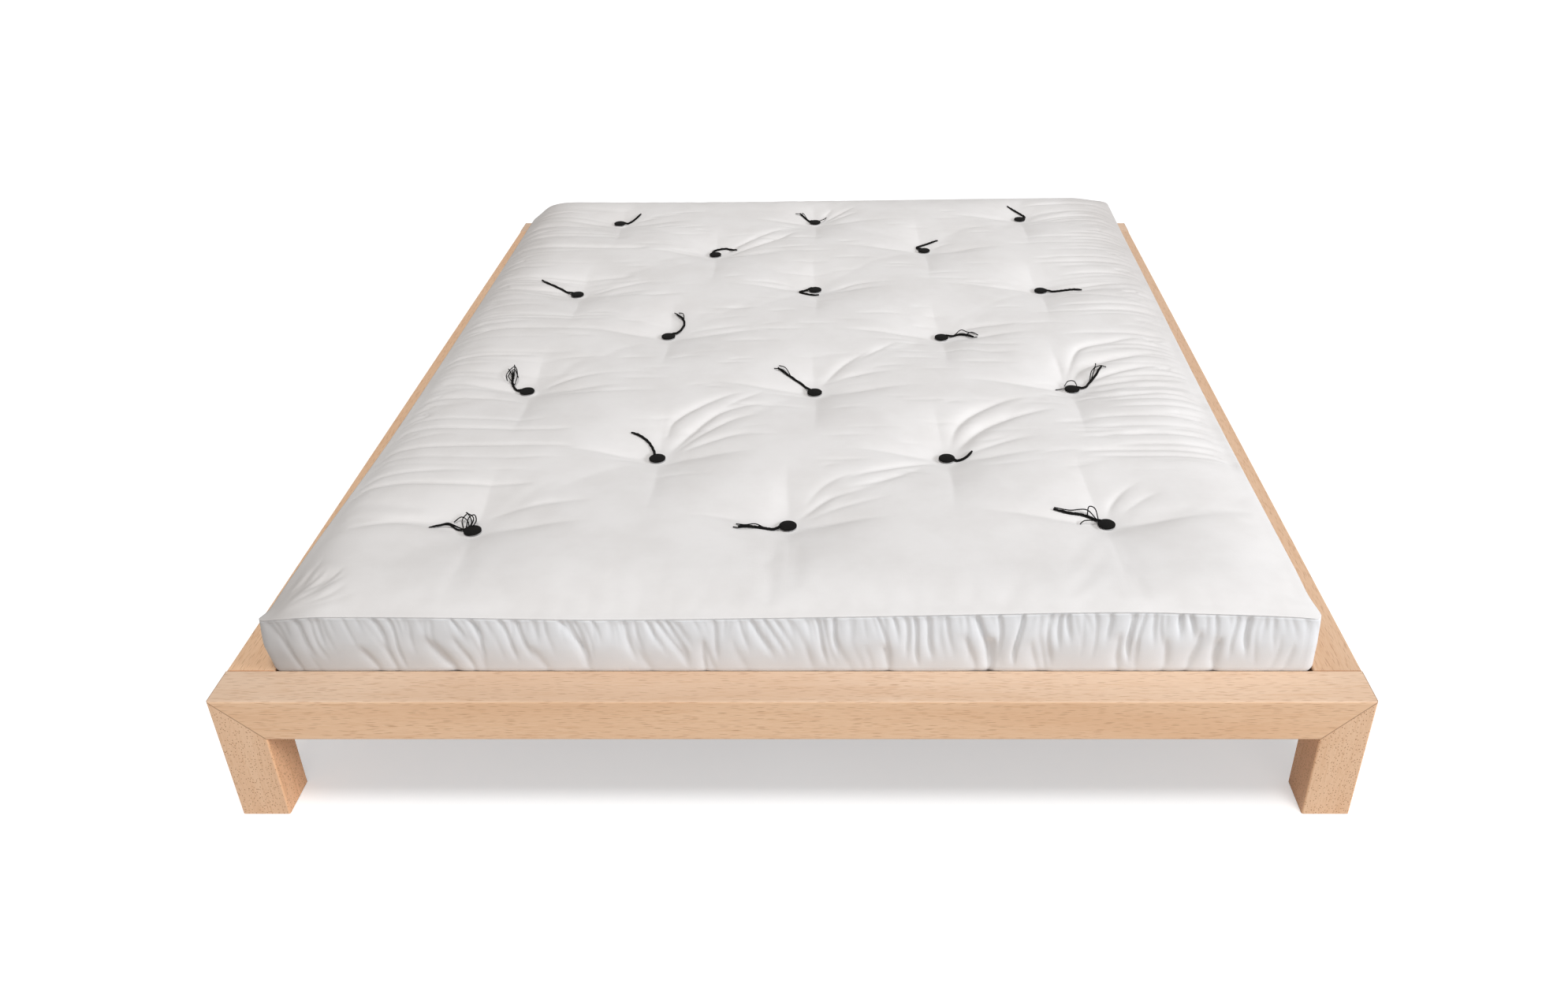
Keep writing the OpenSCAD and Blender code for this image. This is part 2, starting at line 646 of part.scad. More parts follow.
// Round tube through the points p
module tube(p, d) {
    n = tube_sides;
    last = len(p) - 1;
    polyhedron(
        points = [for (i = [0:last])
            let (h = heading(p, i), side = unit(cross(h, [0, 0, 1])), up = cross(side, h))
            for (s = [0:n - 1])
                p[i] + d / 2 * (cos(360 * s / n) * side + sin(360 * s / n) * up)],
        faces = [
            for (i = [0:last - 1], s = [0:n - 1])
                let (a = i * n + s, b = i * n + (s + 1) % n)
                each [[a, a + n, b + n], [a, b + n, b]],
            for (s = [1:n - 2]) each [[0, s, s + 1], [last * n, last * n + s + 1, last * n + s]]
        ]);
}

module tuft_tails() {
    color(black_felt) for (k = [0:len(tufts) - 1]) tube(tail_points(k), cord_d);
}

end_rail(-1);  // foot_rail
end_rail(1);  // head_rail
leg(-1, -1);  // leg_foot_left
leg(1, -1);  // leg_foot_right
leg(-1, 1);  // leg_head_left
leg(1, 1);  // leg_head_right
side_rail(-1);  // side_rail_left
side_rail(1);  // side_rail_right
ledger(-1);  // ledger_left
ledger(1);  // ledger_right
centre_beam();
centre_foot();
beam_hanger(-1);  // beam_hanger_foot
beam_hanger(1);  // beam_hanger_head
slat(0);  // slat_01
slat(1);  // slat_02
slat(2);  // slat_03
slat(3);  // slat_04
slat(4);  // slat_05
slat(5);  // slat_06
slat(6);  // slat_07
slat(7);  // slat_08
slat(8);  // slat_09
slat(9);  // slat_10
slat(10);  // slat_11
slat(11);  // slat_12
slat(12);  // slat_13
slat(13);  // slat_14
mitre_tenons();
corner_studs();
half_moon_washers();
corner_nuts();
locating_dowels();
ledger_screws();
slat_screws();
hanger_screws();
centre_foot_stud();
futon();
tuft_pads_top();
tuft_pads_under();
tuft_stitches();
tuft_tails();
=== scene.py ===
"""Looks of the low double bed: beech with its grain, a tufted cotton futon, black cord and felt.

Lengths are in metres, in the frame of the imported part: X across the bed, Y from the foot end to
the head end, Z up from the floor. Only the tables of routes are in millimetres.
"""

import math
import random

import bpy
import numpy as np
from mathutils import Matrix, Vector
from mathutils.bvhtree import BVHTree


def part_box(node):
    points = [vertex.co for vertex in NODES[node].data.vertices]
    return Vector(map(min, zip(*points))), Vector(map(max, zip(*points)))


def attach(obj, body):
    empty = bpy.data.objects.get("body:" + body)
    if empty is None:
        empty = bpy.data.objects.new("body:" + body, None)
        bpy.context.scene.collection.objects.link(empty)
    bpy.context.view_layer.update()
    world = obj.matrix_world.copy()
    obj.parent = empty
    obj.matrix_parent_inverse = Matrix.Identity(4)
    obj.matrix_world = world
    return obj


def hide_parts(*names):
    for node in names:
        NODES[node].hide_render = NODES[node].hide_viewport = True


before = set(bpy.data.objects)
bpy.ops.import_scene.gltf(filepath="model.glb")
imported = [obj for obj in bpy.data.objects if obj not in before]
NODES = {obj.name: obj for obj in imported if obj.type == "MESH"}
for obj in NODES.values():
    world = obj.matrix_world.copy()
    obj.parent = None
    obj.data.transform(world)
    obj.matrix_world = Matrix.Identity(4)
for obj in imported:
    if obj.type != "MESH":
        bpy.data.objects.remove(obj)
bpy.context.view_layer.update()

# Camera of the photograph, found from the frame's corners
EYE = (0.101, -2.566, 1.484)
PITCH_DOWN = math.radians(31.15)
LENS_MM = 29.4
SENSOR_MM = 36.0
SHIFT_X = -0.0481

# Futon
FUTON_W = 1.600
FUTON_L = 2.000
BORDER_H = 0.130
CROWN_H = 0.015
CROWN_RUN = 0.120
TUFT_DEPTH = 0.012
TUFT_REACH = 0.070
SIDE_DRAW = 0.005
BULGE = 0.008
HEAD_LEFT_R = 0.040
FOOT_LEFT_R = 0.006
FOOT_RIGHT_R = 0.012
HEAD_RIGHT_R = 0.026
BASE_INSET = 0.014
FUTON_GAP = 0.005
SLAT_RECESS = 0.030
PAD_R = 0.015
TUFT_ROWS = (3, 2, 3, 2, 3, 2, 3)
CORD_D = 0.0035

BASE_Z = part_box("futon")[0].z
SEAM_Z = BASE_Z + BORDER_H
FRAME_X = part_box("foot_rail")[1].x
FRAME_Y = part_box("head_rail")[1].y

# Loose cord ends from the tuft outwards, foot row first, in millimetres, as in the part's source
TAIL_ROUTES = [
    [(-10, 0), (-28, 6), (-44, 16), (-60, 12), (-72, 0)],
    [(-10, -4), (-28, -12), (-45, -14), (-64, -17), (-82, -22)],
    [(-8, 6), (-20, 18), (-38, 23), (-62, 22), (-88, 27)],
    [(-6, 8), (-10, 28), (-22, 50), (-40, 66), (-58, 74)],
    [(8, -6), (24, -4), (38, 6), (48, 20)],
    [(-10, 0), (-24, 6), (-34, 22), (-38, 44), (-42, 66)],
    [(-8, 6), (-22, 26), (-42, 43), (-60, 60), (-78, 80)],
    [(10, 2), (28, 10), (42, 30), (58, 54), (72, 80)],
    [(8, 6), (24, 28), (30, 52), (22, 78), (8, 95)],
    [(10, 4), (28, 9), (42, 9), (56, 0), (70, -10)],
    [(-10, 4), (-32, 14), (-54, 24), (-76, 38), (-95, 58)],
    [(-8, 6), (-26, -4), (-36, -25), (-16, -34), (10, -34)],
    [(10, -2), (32, -5), (52, -5), (74, -8), (96, -15)],
    [(-6, 8), (-8, 24), (4, 36), (28, 36), (54, 20)],
    [(-8, 6), (-18, 22), (-4, 36), (16, 44), (38, 52)],
    [(10, 0), (26, 6), (40, 20), (52, 45)],
    [(-8, 4), (-20, 16), (-32, 30), (-42, 44)],
    [(10, 4), (16, 20), (4, 40), (-10, 60), (-27, 80)],
]


def metres(route):
    return [[value / 1000 for value in point] for point in route]


# Scene: camera, lamps, floor

def new_object(name, data):
    made = bpy.data.objects.new(name, data)
    bpy.context.scene.collection.objects.link(made)
    return made


def set_camera():
    data = bpy.data.cameras.new("camera")
    data.lens = LENS_MM
    data.sensor_width = SENSOR_MM
    data.shift_x = SHIFT_X
    camera = new_object("camera", data)
    camera.location = EYE
    camera.rotation_euler = (math.pi / 2 - PITCH_DOWN, 0, 0)
    bpy.context.scene.camera = camera


def add(tree, kind, props=None, **inputs):
    """Adds a node. An input takes a value or another node's socket.

    Its name is the socket's, with _ for a space, or i and the socket's number."""
    made = tree.nodes.new(kind)
    for key, value in (props or {}).items():
        setattr(made, key, value)
    for key, value in inputs.items():
        number = key[1:] if key[0] == "i" else ""
        socket = made.inputs[int(number) if number.isdigit() else key.replace("_", " ")]
        if isinstance(value, bpy.types.NodeSocket):
            tree.links.new(value, socket)
        else:
            socket.default_value = value
    return made


def background_rays(tree):
    """1 for the rays that see the background: from the camera, and by gloss or glass."""
    path = add(tree, "ShaderNodeLightPath")
    seen = maths(tree, "MAXIMUM", path.outputs["Is Camera Ray"], path.outputs["Is Glossy Ray"])
    return maths(tree, "MAXIMUM", seen, path.outputs["Is Transmission Ray"])


# Light levels, the ways towards the suns and their widths in degrees, and the panel's place, aim and side
WORLD_LIGHT = 0.32
KEY_LIGHT = 0.47
KEY_WAY = (0.10, -0.26, 1.0)
KEY_WIDTH = 16
FRONT_LIGHT = 0.27
FRONT_WAY = (0.25, -1.0, 0.16)
FRONT_WIDTH = 30
RAKING_LIGHT = 0.42
RAKING_COLOUR = (0.95, 0.99, 1.05)
RAKING_PLACE = (4.5, -2.3, 2.5)
RAKING_AIM = (0, 0, 0.3)
RAKING_SIDE = 1.3


def set_world():
    world = bpy.data.worlds.new("studio")
    bpy.context.scene.world = world
    world.use_nodes = True
    tree = world.node_tree
    tree.nodes.clear()
    fill = add(tree, "ShaderNodeBackground", Color=(1, 1, 1, 1), Strength=WORLD_LIGHT)
    white = add(tree, "ShaderNodeBackground", Color=(1, 1, 1, 1), Strength=1.0)
    both = add(tree, "ShaderNodeMixShader", i0=background_rays(tree),
               i1=fill.outputs[0], i2=white.outputs[0])
    add(tree, "ShaderNodeOutputWorld", Surface=both.outputs[0])


def add_lamp(name, kind, energy, away, **props):
    """A lamp that is turned so that its light comes from one way."""
    data = bpy.data.lights.new(name, kind)
    data.energy = energy
    for key, value in props.items():
        setattr(data, key, value)
    lamp = new_object(name, data)
    lamp.rotation_euler = away.to_track_quat("Z", "Y").to_euler()
    return lamp


def add_sun(name, towards, level, angle):
    """A distant soft lamp: level 1 lights a white surface that faces it to full white."""
    add_lamp(name, "SUN", level * math.pi, Vector(towards), angle=math.radians(angle))


def add_panel(name, place, aim, level, side, colour):
    """A square soft lamp: level 1 would light a white surface that faces it, at the aim, to full white."""
    away = Vector(place) - Vector(aim)
    energy = level * math.pi ** 2 * away.length_squared
    lamp = add_lamp(name, "AREA", energy, away, size=side, color=colour)
    lamp.location = place
    return lamp


FLOOR_HALF = 40.0
FLOOR_SINK = 0.0005
FLOOR_COLOUR = 0.80
FLOOR_GLOW = 0.48

# Under the bed, a painted shadow: the floor's glow and its tint there, and how far inside the frame's outline
# they set in
SHADE_GLOW = 0.43
SHADE_TONE = (0.96, 0.995, 1.03)
SHADE_SIDES = (0.010, 0.050)
SHADE_ENDS = (0.0, 0.030)


def add_floor():
    """White floor, bright enough to vanish; under the bed its glow is held back to a painted shadow, where
    the bed would shade it.
    """
    side = FLOOR_HALF
    mesh = bpy.data.meshes.new("floor")
    mesh.from_pydata([(-side, -side, 0), (side, -side, 0), (side, side, 0), (-side, side, 0)],
                     [], [(0, 1, 2, 3)])
    floor = new_object("floor", mesh)
    floor.location.z = -FLOOR_SINK
    material, tree = new_material("floor_white")
    diffuse = add(tree, "ShaderNodeBsdfDiffuse", Color=(FLOOR_COLOUR,) * 3 + (1,))
    across, along = [maths(tree, "ABSOLUTE", value) for value in parts(tree, here(tree))[:2]]
    # Painted shadow: the glow is held back within the bed's outline
    shade = times(tree, ramp(tree, across, *[FRAME_X - inset for inset in SHADE_SIDES]),
                  ramp(tree, along, *[FRAME_Y - inset for inset in SHADE_ENDS]))
    glow = add(tree, "ShaderNodeEmission", Color=mixed(tree, shade, (1.0, 1.0, 1.0), SHADE_TONE))
    level = maths(tree, "ADD", FLOOR_GLOW, times(tree, shade, SHADE_GLOW - FLOOR_GLOW))
    tree.links.new(times(tree, background_rays(tree), level), glow.inputs["Strength"])
    both = add(tree, "ShaderNodeAddShader", i0=diffuse.outputs[0], i1=glow.outputs[0])
    add(tree, "ShaderNodeOutputMaterial", Surface=both.outputs[0])
    mesh.materials.append(material)
    return floor


def spare(floor, lamp):
    """Keeps one lamp's light off the floor, as a flag on its stand would."""
    flagged = bpy.data.collections.new("flagged_off")
    flagged.objects.link(floor)
    lamp.light_linking.receiver_collection = flagged
    flagged.collection_objects[0].light_linking.link_state = "EXCLUDE"


# Materials

def new_material(name):
    material = bpy.data.materials.new(name)
    material.use_nodes = True
    material.node_tree.nodes.clear()
    return material, material.node_tree


def shown(tree, height, strength, distance, **inputs):
    """What the material shows: the inputs of its shader, and a bump by the height."""
    bump = add(tree, "ShaderNodeBump", Strength=strength, Distance=distance, Height=height)
    shader = add(tree, "ShaderNodeBsdfPrincipled", Normal=bump.outputs[0], **inputs)
    add(tree, "ShaderNodeOutputMaterial", Surface=shader.outputs[0])


def maths(tree, operation, a, b=0.0):
    return add(tree, "ShaderNodeMath", {"operation": operation}, i0=a, i1=b).outputs[0]


def times(tree, a, b):
    return maths(tree, "MULTIPLY", a, b)


def mixed(tree, share, a, b, blend="MIX"):
    """Colour a at share 0 and b, or its blend with a, at share 1."""
    made = add(tree, "ShaderNodeMix", {"data_type": "RGBA", "blend_type": blend}, i0=share)
    for socket, value in ((made.inputs[6], a), (made.inputs[7], b)):
        if isinstance(value, bpy.types.NodeSocket):
            tree.links.new(value, socket)
        else:
            socket.default_value = (*value, 1)
    return made.outputs[2]


def facing(tree):
    """How far a face looks sideways along X, and how level it lies, both from 0 to 1."""
    sideways, _, level = parts(tree, add(tree, "ShaderNodeNewGeometry").outputs["True Normal"])
    return maths(tree, "ABSOLUTE", sideways), ramp(tree, maths(tree, "ABSOLUTE", level), 0.4, 0.85)


def ramp(tree, value, low, high):
    """0 below low and 1 above high, with a soft step between."""
    return add(tree, "ShaderNodeMapRange", {"interpolation_type": "SMOOTHSTEP"},
               Value=value, From_Min=low, From_Max=high).outputs[0]


def layered(tree, value, low, high, share, base, colour):
    """The base with a colour over it where the value passes from low to high, up to a share."""
    return mixed(tree, times(tree, ramp(tree, value, low, high), share), base, colour)


def toned(tree, base, tone, share=1.0):
    """The base multiplied by a tone, up to a share."""
    return mixed(tree, share, base, tone, "MULTIPLY")


def noise(tree, vector, scale, detail, rough, distortion=0.0):
    return add(tree, "ShaderNodeTexNoise", Vector=vector, Scale=scale, Detail=detail,
               Roughness=rough, Distortion=distortion).outputs[0]


def here(tree):
    """The place on the object, in its own coordinates."""
    return add(tree, "ShaderNodeTexCoord").outputs["Object"]


def parts(tree, vector):
    """X, Y and Z of a vector."""
    return add(tree, "ShaderNodeSeparateXYZ", Vector=vector).outputs[:]


SEED_SHIFT = (1.37, 2.11, 0.73)


def stretched(tree, along, stretch, seed):
    """Object coordinates squeezed along one axis, so that a texture runs long that way."""
    scale = [1.0, 1.0, 1.0]
    scale[along] = 1 / stretch
    return add(tree, "ShaderNodeMapping", Vector=here(tree),
               Location=[seed * shift for shift in SEED_SHIFT], Scale=scale).outputs[0]


BEECH = (0.660, 0.455, 0.313)
BEECH_LIGHT = (0.710, 0.518, 0.376)
BEECH_DARK = (0.576, 0.359, 0.221)
BEECH_MARK = (0.330, 0.168, 0.090)
MITRE_LINE = (0.250, 0.142, 0.084)
# Painted shade: upright faces are deeper in colour than level ones
UPRIGHT_PAINTED_SHADE = (1.06, 0.98, 0.88)
PLAIN = (1.0, 1.0, 1.0)

# Layers of the grain: stretch along it, then the noise's scale, detail, roughness and distortion
BROAD = (9, 14, 3, 0.5, 0.4)
STREAK = (16, 260, 5, 0.62, 1.1)
FIBRE = (26, 1300, 3, 0.6)

# Ray marks lie in cells so many mark widths apart, with so much of a cell's length, and stray a little
MARK_SPACING = 3.2
MARK_ASPECT = 2.2
MARK_STRAY = 1.5
MITRE_EDGES = (0.0006, 0.0016)


def grain(tree, along, seed, layer):
    """One layer of noise, drawn out along the grain."""
    return noise(tree, stretched(tree, along, layer[0], seed), *layer[1:])


def ray_marks(tree, along, seed, length, width, share):
    """Short marks along the grain, in a share of the cells: 1 on a mark, 0 beside it."""
    stray = add(tree, "ShaderNodeTexNoise", Vector=stretched(tree, along, 5, seed), Scale=60).outputs[1]
    shift = add(tree, "ShaderNodeVectorMath", {"operation": "SCALE"}, i0=stray, Scale=width * MARK_STRAY)
    place = add(tree, "ShaderNodeVectorMath", {"operation": "ADD"},
                i0=stretched(tree, along, length / width / MARK_ASPECT, seed + 3), i1=shift.outputs[0])
    cells = add(tree, "ShaderNodeTexVoronoi", Vector=place.outputs[0], Scale=1 / (width * MARK_SPACING))
    chosen = add(tree, "ShaderNodeSeparateColor", Color=cells.outputs["Color"]).outputs[0]
    kept = ramp(tree, chosen, 1 - share, 1 - share + 0.2)
    spot = maths(tree, "SUBTRACT", 1.0, ramp(tree, cells.outputs["Distance"], 0.16, 0.34))
    return times(tree, spot, kept)


def mitre_line(tree):
    """1 on the thin line where the rail meets the leg at 45 degrees, 0 beside it."""
    across, _, up = parts(tree, here(tree))
    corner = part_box("foot_rail")[1]
    inwards = maths(tree, "SUBTRACT", maths(tree, "ABSOLUTE", across), corner.x)
    down = maths(tree, "SUBTRACT", up, corner.z)
    off = maths(tree, "ABSOLUTE", maths(tree, "SUBTRACT", inwards, down))
    return maths(tree, "SUBTRACT", 1.0, ramp(tree, off, *MITRE_EDGES))


def wood(name, along, seed, tint=PLAIN, sideways_painted_light=PLAIN, mark_length=0.020, mark_width=0.0006,
         mark_share=0.95, mark_strength=0.55, mitre=False):
    """Beech with its grain along one axis: wavy streaks, and short brown ray marks.

    Faces that stand upright carry a painted shade, a little deeper in colour than those that lie flat;
    faces that look along X can carry painted light, and the tint is painted light or shade on the side rails."""
    material, tree = new_material(name)
    streak = grain(tree, along, seed + 1, STREAK)
    fibre = grain(tree, along, seed + 2, FIBRE)
    mark = times(tree, ray_marks(tree, along, seed, mark_length, mark_width, mark_share), mark_strength)
    base = mixed(tree, ramp(tree, grain(tree, along, seed, BROAD), 0.36, 0.66), BEECH_LIGHT, BEECH)
    base = layered(tree, streak, 0.46, 0.74, 0.62, base, BEECH_DARK)
    base = layered(tree, fibre, 0.40, 0.72, 0.40, base, BEECH_DARK)
    base = mixed(tree, mark, base, BEECH_MARK)
    if mitre:
        base = mixed(tree, times(tree, mitre_line(tree), 0.75), base, MITRE_LINE)
    sideways, level = facing(tree)
    # Painted shade on the upright faces
    base = toned(tree, base, mixed(tree, level, UPRIGHT_PAINTED_SHADE, PLAIN))
    # Painted light on the faces that look along X
    base = toned(tree, base, sideways_painted_light, sideways)
    # The tint: the wood's own tone, and on the side rails painted light or shade as well
    base = toned(tree, base, tint)
    rough = maths(tree, "ADD", 0.46, times(tree, streak, 0.12))
    shown(tree, maths(tree, "SUBTRACT", times(tree, fibre, 0.4), mark), 0.12, 0.0004,
          Base_Color=base, Roughness=rough, Specular_IOR_Level=0.35)
    return material


COTTON = (0.790, 0.765, 0.748)
COTTON_SHADE = (0.740, 0.712, 0.692)
# Painted shades: on the border's upright faces, towards the left end, and along the long edges towards the
# head and at the left foot corner
BORDER_PAINTED_SHADE = (0.915, 0.955, 0.995)
LEFT_PAINTED_SHADE = (0.815, 0.800, 0.785)
EDGE_PAINTED_SHADE = (0.800, 0.785, 0.775)

# Where the painted shades set in and are full: across to the left, from the side edges inwards, along to the
# head, and from the left foot corner inwards
LEFT_FADE = (-0.30, -0.85)
LEFT_ON_TOP = 0.35
EDGE_FADE = 0.17
HEAD_FADE = (-0.5, 0.8)
CORNER_FADE_X = 0.10
CORNER_FADE_Y = (0.30, 0.03)

# Yarns of the cloth: stretch along them, then the noise's scale, detail and roughness
YARN = (30, 900, 2, 0.6)
SLUB = (18, 160, 3, 0.6)


def cotton(name):
    """Off-white calico: a fine plain weave, slubs in the yarn and a slight mottle.

    The border's upright faces carry a painted shade, cooler than the top, and a painted shade greys the left
    end.
    Painted shade greys the long edges too towards the head end, and the left one at the foot."""
    material, tree = new_material(name)
    place = here(tree)
    warp = grain(tree, 1, 3, YARN)
    weft = grain(tree, 0, 4, YARN)
    slub = grain(tree, 0, 6, SLUB)
    base = mixed(tree, ramp(tree, noise(tree, place, 9, 4, 0.6), 0.3, 0.75), COTTON, COTTON_SHADE)
    base = layered(tree, noise(tree, place, 420, 3, 0.7), 0.45, 0.8, 0.25, base, COTTON_SHADE)
    base = layered(tree, slub, 0.55, 0.8, 0.18, base, COTTON_SHADE)
    upright = maths(tree, "SUBTRACT", 1.0, facing(tree)[1])
    # Painted shade on the border's upright faces
    base = toned(tree, base, BORDER_PAINTED_SHADE, upright)
    across, along, _ = parts(tree, place)
    # Painted shade towards the left end, fuller on the border than on the top
    grey = maths(tree, "ADD", LEFT_ON_TOP, times(tree, upright, 1 - LEFT_ON_TOP))
    base = toned(tree, base, LEFT_PAINTED_SHADE, times(tree, ramp(tree, across, *LEFT_FADE), grey))
    # Painted shade along the long edges towards the head end
    edge = ramp(tree, maths(tree, "ABSOLUTE", across), FUTON_W / 2 - EDGE_FADE, FUTON_W / 2)
    base = toned(tree, base, EDGE_PAINTED_SHADE, times(tree, edge, ramp(tree, along, *HEAD_FADE)))
    # Painted shade at the left foot corner
    corner_x = ramp(tree, across, CORNER_FADE_X - FUTON_W / 2, -FUTON_W / 2)
    corner_y = ramp(tree, along, *[inset - FUTON_L / 2 for inset in CORNER_FADE_Y])
    base = toned(tree, base, EDGE_PAINTED_SHADE, times(tree, corner_x, corner_y))
    weave = maths(tree, "ADD", maths(tree, "MAXIMUM", warp, weft), times(tree, slub, 0.6))
    shown(tree, weave, 0.35, 0.0005, Base_Color=base, Roughness=0.92, Specular_IOR_Level=0.12,
          Sheen_Weight=0.06)
    return material


TEXTILE_BLACK = (0.007, 0.0065, 0.006)
FELT_LIGHT = (0.030, 0.028, 0.027)
CORD_LIGHT = (0.014, 0.013, 0.012)


def black_textile(name, scale, light):
    """Black felt or cotton cord: matted fibres that catch a little light."""
    material, tree = new_material(name)
    fibre = noise(tree, here(tree), scale, 5, 0.7, 1.5)
    base = mixed(tree, ramp(tree, fibre, 0.5, 0.75), TEXTILE_BLACK, light)
    shown(tree, fibre, 0.8, 0.0008, Base_Color=base, Roughness=0.95, Specular_IOR_Level=0.08,
          Sheen_Weight=0.01)
    return material


ZINC_DARK = (0.62, 0.63, 0.66)
ZINC_LIGHT = (0.72, 0.72, 0.72)


def zinc(name):
    """Zinc-plated steel, faintly clouded and brushed."""
    material, tree = new_material(name)
    brushed = noise(tree, stretched(tree, 1, 25, 2), 700, 2, 0.5)
    rough = maths(tree, "ADD", 0.28, times(tree, brushed, 0.2))
    base = mixed(tree, noise(tree, here(tree), 60, 4, 0.6), ZINC_DARK, ZINC_LIGHT)
    shown(tree, brushed, 0.1, 0.0002, Base_Color=base, Roughness=rough, Metallic=1.0)
    return material


def dress_frame():
    """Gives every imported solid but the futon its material, and returns the cord's."""
    fleck = {"mark_length": 0.0030, "mark_width": 0.0010, "mark_share": 1.0, "mark_strength": 0.90}
    beam = wood("beech_beam", 1, 6, tint=(0.98, 0.97, 0.96))
    joint = wood("beech_joint", 2, 8)
    steel = zinc("zinc_plated_steel")
    cord = black_textile("black_cord", 1500, CORD_LIGHT)
    by_start = [
        ("foot_rail", wood("beech_foot_rail", 0, 1, tint=(1.03, 1.03, 1.02), mitre=True)),
        ("head_rail", wood("beech_head_rail", 0, 2, mitre=True)),
        # The legs' faces that look along X carry painted light
        ("leg_", wood("beech_leg", 2, 4, sideways_painted_light=(1.20, 1.06, 0.94), mitre=True, **fleck)),
        # Side rails: a warmer tone than the foot rail, with painted shade on the right one, which the raking
        # lamp lights, and painted light on the left one, which the futon shades
        ("side_rail_right", wood("beech_right_rail", 1, 3, tint=(0.90, 0.83, 0.75))),
        ("side_rail_left", wood("beech_left_rail", 1, 9, tint=(1.14, 1.03, 0.89))),
        ("slat_screws", steel),
        ("slat_", wood("beech_slat", 0, 5)),
        ("ledger_screws", steel),
        ("ledger_", beam),
        ("centre_beam", beam),
        ("centre_foot_stud", steel),
        ("centre_foot", wood("beech_foot", 2, 7, **fleck)),
        ("mitre_tenons", joint),
        ("locating_dowels", joint),
        ("tuft_pads", black_textile("black_felt", 900, FELT_LIGHT)),
        ("tuft_", cord),
        ("", steel),
    ]
    for name in NODES:
        if name != "futon":
            mesh = NODES[name].data
            mesh.materials.clear()
            mesh.materials.append(next(look for start, look in by_start if name.startswith(start)))
    return cord


# Futon

def tuft_places():
    """(x, y, height of the pad's rim) of each tuft, from the part's pads, in the routes' order."""
    pads = []
    for vertex in NODES["tuft_pads_top"].data.vertices:
        point = np.array(vertex.co, float)
        near = [pad for pad in pads if math.dist(pad[0][:2], point[:2]) < 3 * PAD_R]
        if near:
            near[0].append(point)
        else:
            pads.append([point])
    ends = [(np.min(pad, 0), np.max(pad, 0)) for pad in pads]
    places = sorted([((a[0] + b[0]) / 2, (a[1] + b[1]) / 2, b[2]) for a, b in ends], key=lambda p: p[1])
    rows = []
    for size in TUFT_ROWS:
        rows += sorted(places[len(rows):len(rows) + size])
    return rows


TUFTS = tuft_places()


def crown_share(inside, run=CROWN_RUN):
    return 1 - (1 - np.clip(inside / run, 0, 1)) ** 2


def soft_step(value, low, high):
    t = np.clip((value - low) / (high - low), 0, 1)
    return t * t * (3 - 2 * t)


def tuft_distance(x, y):
    """Distance in plan to the nearest tuft."""
    near = np.full(np.shape(x), 1.0)
    for t in TUFTS:
        near = np.minimum(near, np.hypot(x - t[0], y - t[1]))
    return near


# The sewn edge lies lower along the sides and towards the back left corner, where the filling is thin
LEFT_DROP = 0.016
RIGHT_DROP = 0.010
HEAD_DROP = 0.014
EDGE_ROLL = 0.060

# In plan the sides and the head are drawn in, the right side less beyond its middle, and the left foot
# end bulges
LEFT_DRAW = 0.005
LEFT_OUT = 0.007
RIGHT_DRAW = 0.006
RIGHT_BACK = 0.0078
HEAD_DRAW = 0.016

# How high the sewn edge rides along the foot end, from left to right
FOOT_SEAM = [(-0.80, -0.001), (-0.74, 0.001), (-0.53, 0.000), (-0.29, -0.004), (0.00, 0.000),
             (0.28, 0.006), (0.48, 0.010), (0.60, 0.008), (0.76, 0.001), (0.81, -0.006)]

# Where these set in and are full, as distances along an axis from the middle
SIDE_BAND = (0.70, 0.80)
SIDE_HALF = (0.3, 0.8)
HEAD_BAND = (0.86, 0.98)
HEAD_HALF = (0.6, 1.0)
FOOT_BAND = (0.86, 1.0)
TO_LEFT = (-0.9, 0.8)


def edge_drop(x, y):
    """How far the sewn edge has sunk near a point of the outline."""
    left = LEFT_DROP * soft_step(-x, *SIDE_BAND) * soft_step(y, -1.03, -0.95)
    right = RIGHT_DROP * soft_step(x, *SIDE_BAND) * soft_step(y, -0.5, 0.8)
    head = HEAD_DROP * soft_step(-x, *TO_LEFT) * soft_step(y, *HEAD_BAND)
    return left + right + head


def foot_lift(x, y):
    """How far the foot end's edge rides over its sewn height near a point."""
    wave = smooth_route(FOOT_SEAM, 60)
    return np.interp(x, wave[:, 0], wave[:, 1]) * soft_step(-y, *FOOT_BAND)


def edge_draw(x, y):
    """Shift in plan of a point near the outline, where a long side or the head is drawn in."""
    middle = SIDE_DRAW * np.cos(math.pi * y / FUTON_L)
    left = middle + LEFT_DRAW * soft_step(y, -0.95, -0.2) - LEFT_OUT * soft_step(-y, 0.40, 0.90)
    right = middle + RIGHT_DRAW * soft_step(y, -1.0, -0.93) - RIGHT_BACK * soft_step(y, -0.5, 0.5)
    head = HEAD_DRAW * soft_step(-x, *TO_LEFT) * soft_step(y, *HEAD_HALF)
    return left * soft_step(-x, *SIDE_HALF) - right * soft_step(x, *SIDE_HALF), -head


def stuffed(x, y):
    """Height of the stuffed top: its crown, less the pull of the tufts."""
    inside_x, inside_y = FUTON_W / 2 - abs(x), FUTON_L / 2 - abs(y)
    share = crown_share(inside_x) * crown_share(inside_y)
    roll = crown_share(inside_x, EDGE_ROLL) * crown_share(inside_y, EDGE_ROLL)
    pull = sum(np.exp(-np.hypot(x - t[0], y - t[1]) / TUFT_REACH) for t in TUFTS)
    return (SEAM_Z + CROWN_H * share - (CROWN_H + TUFT_DEPTH) * np.minimum(1, pull) * share
            - edge_drop(x, y) * (1 - roll) + foot_lift(x, y))


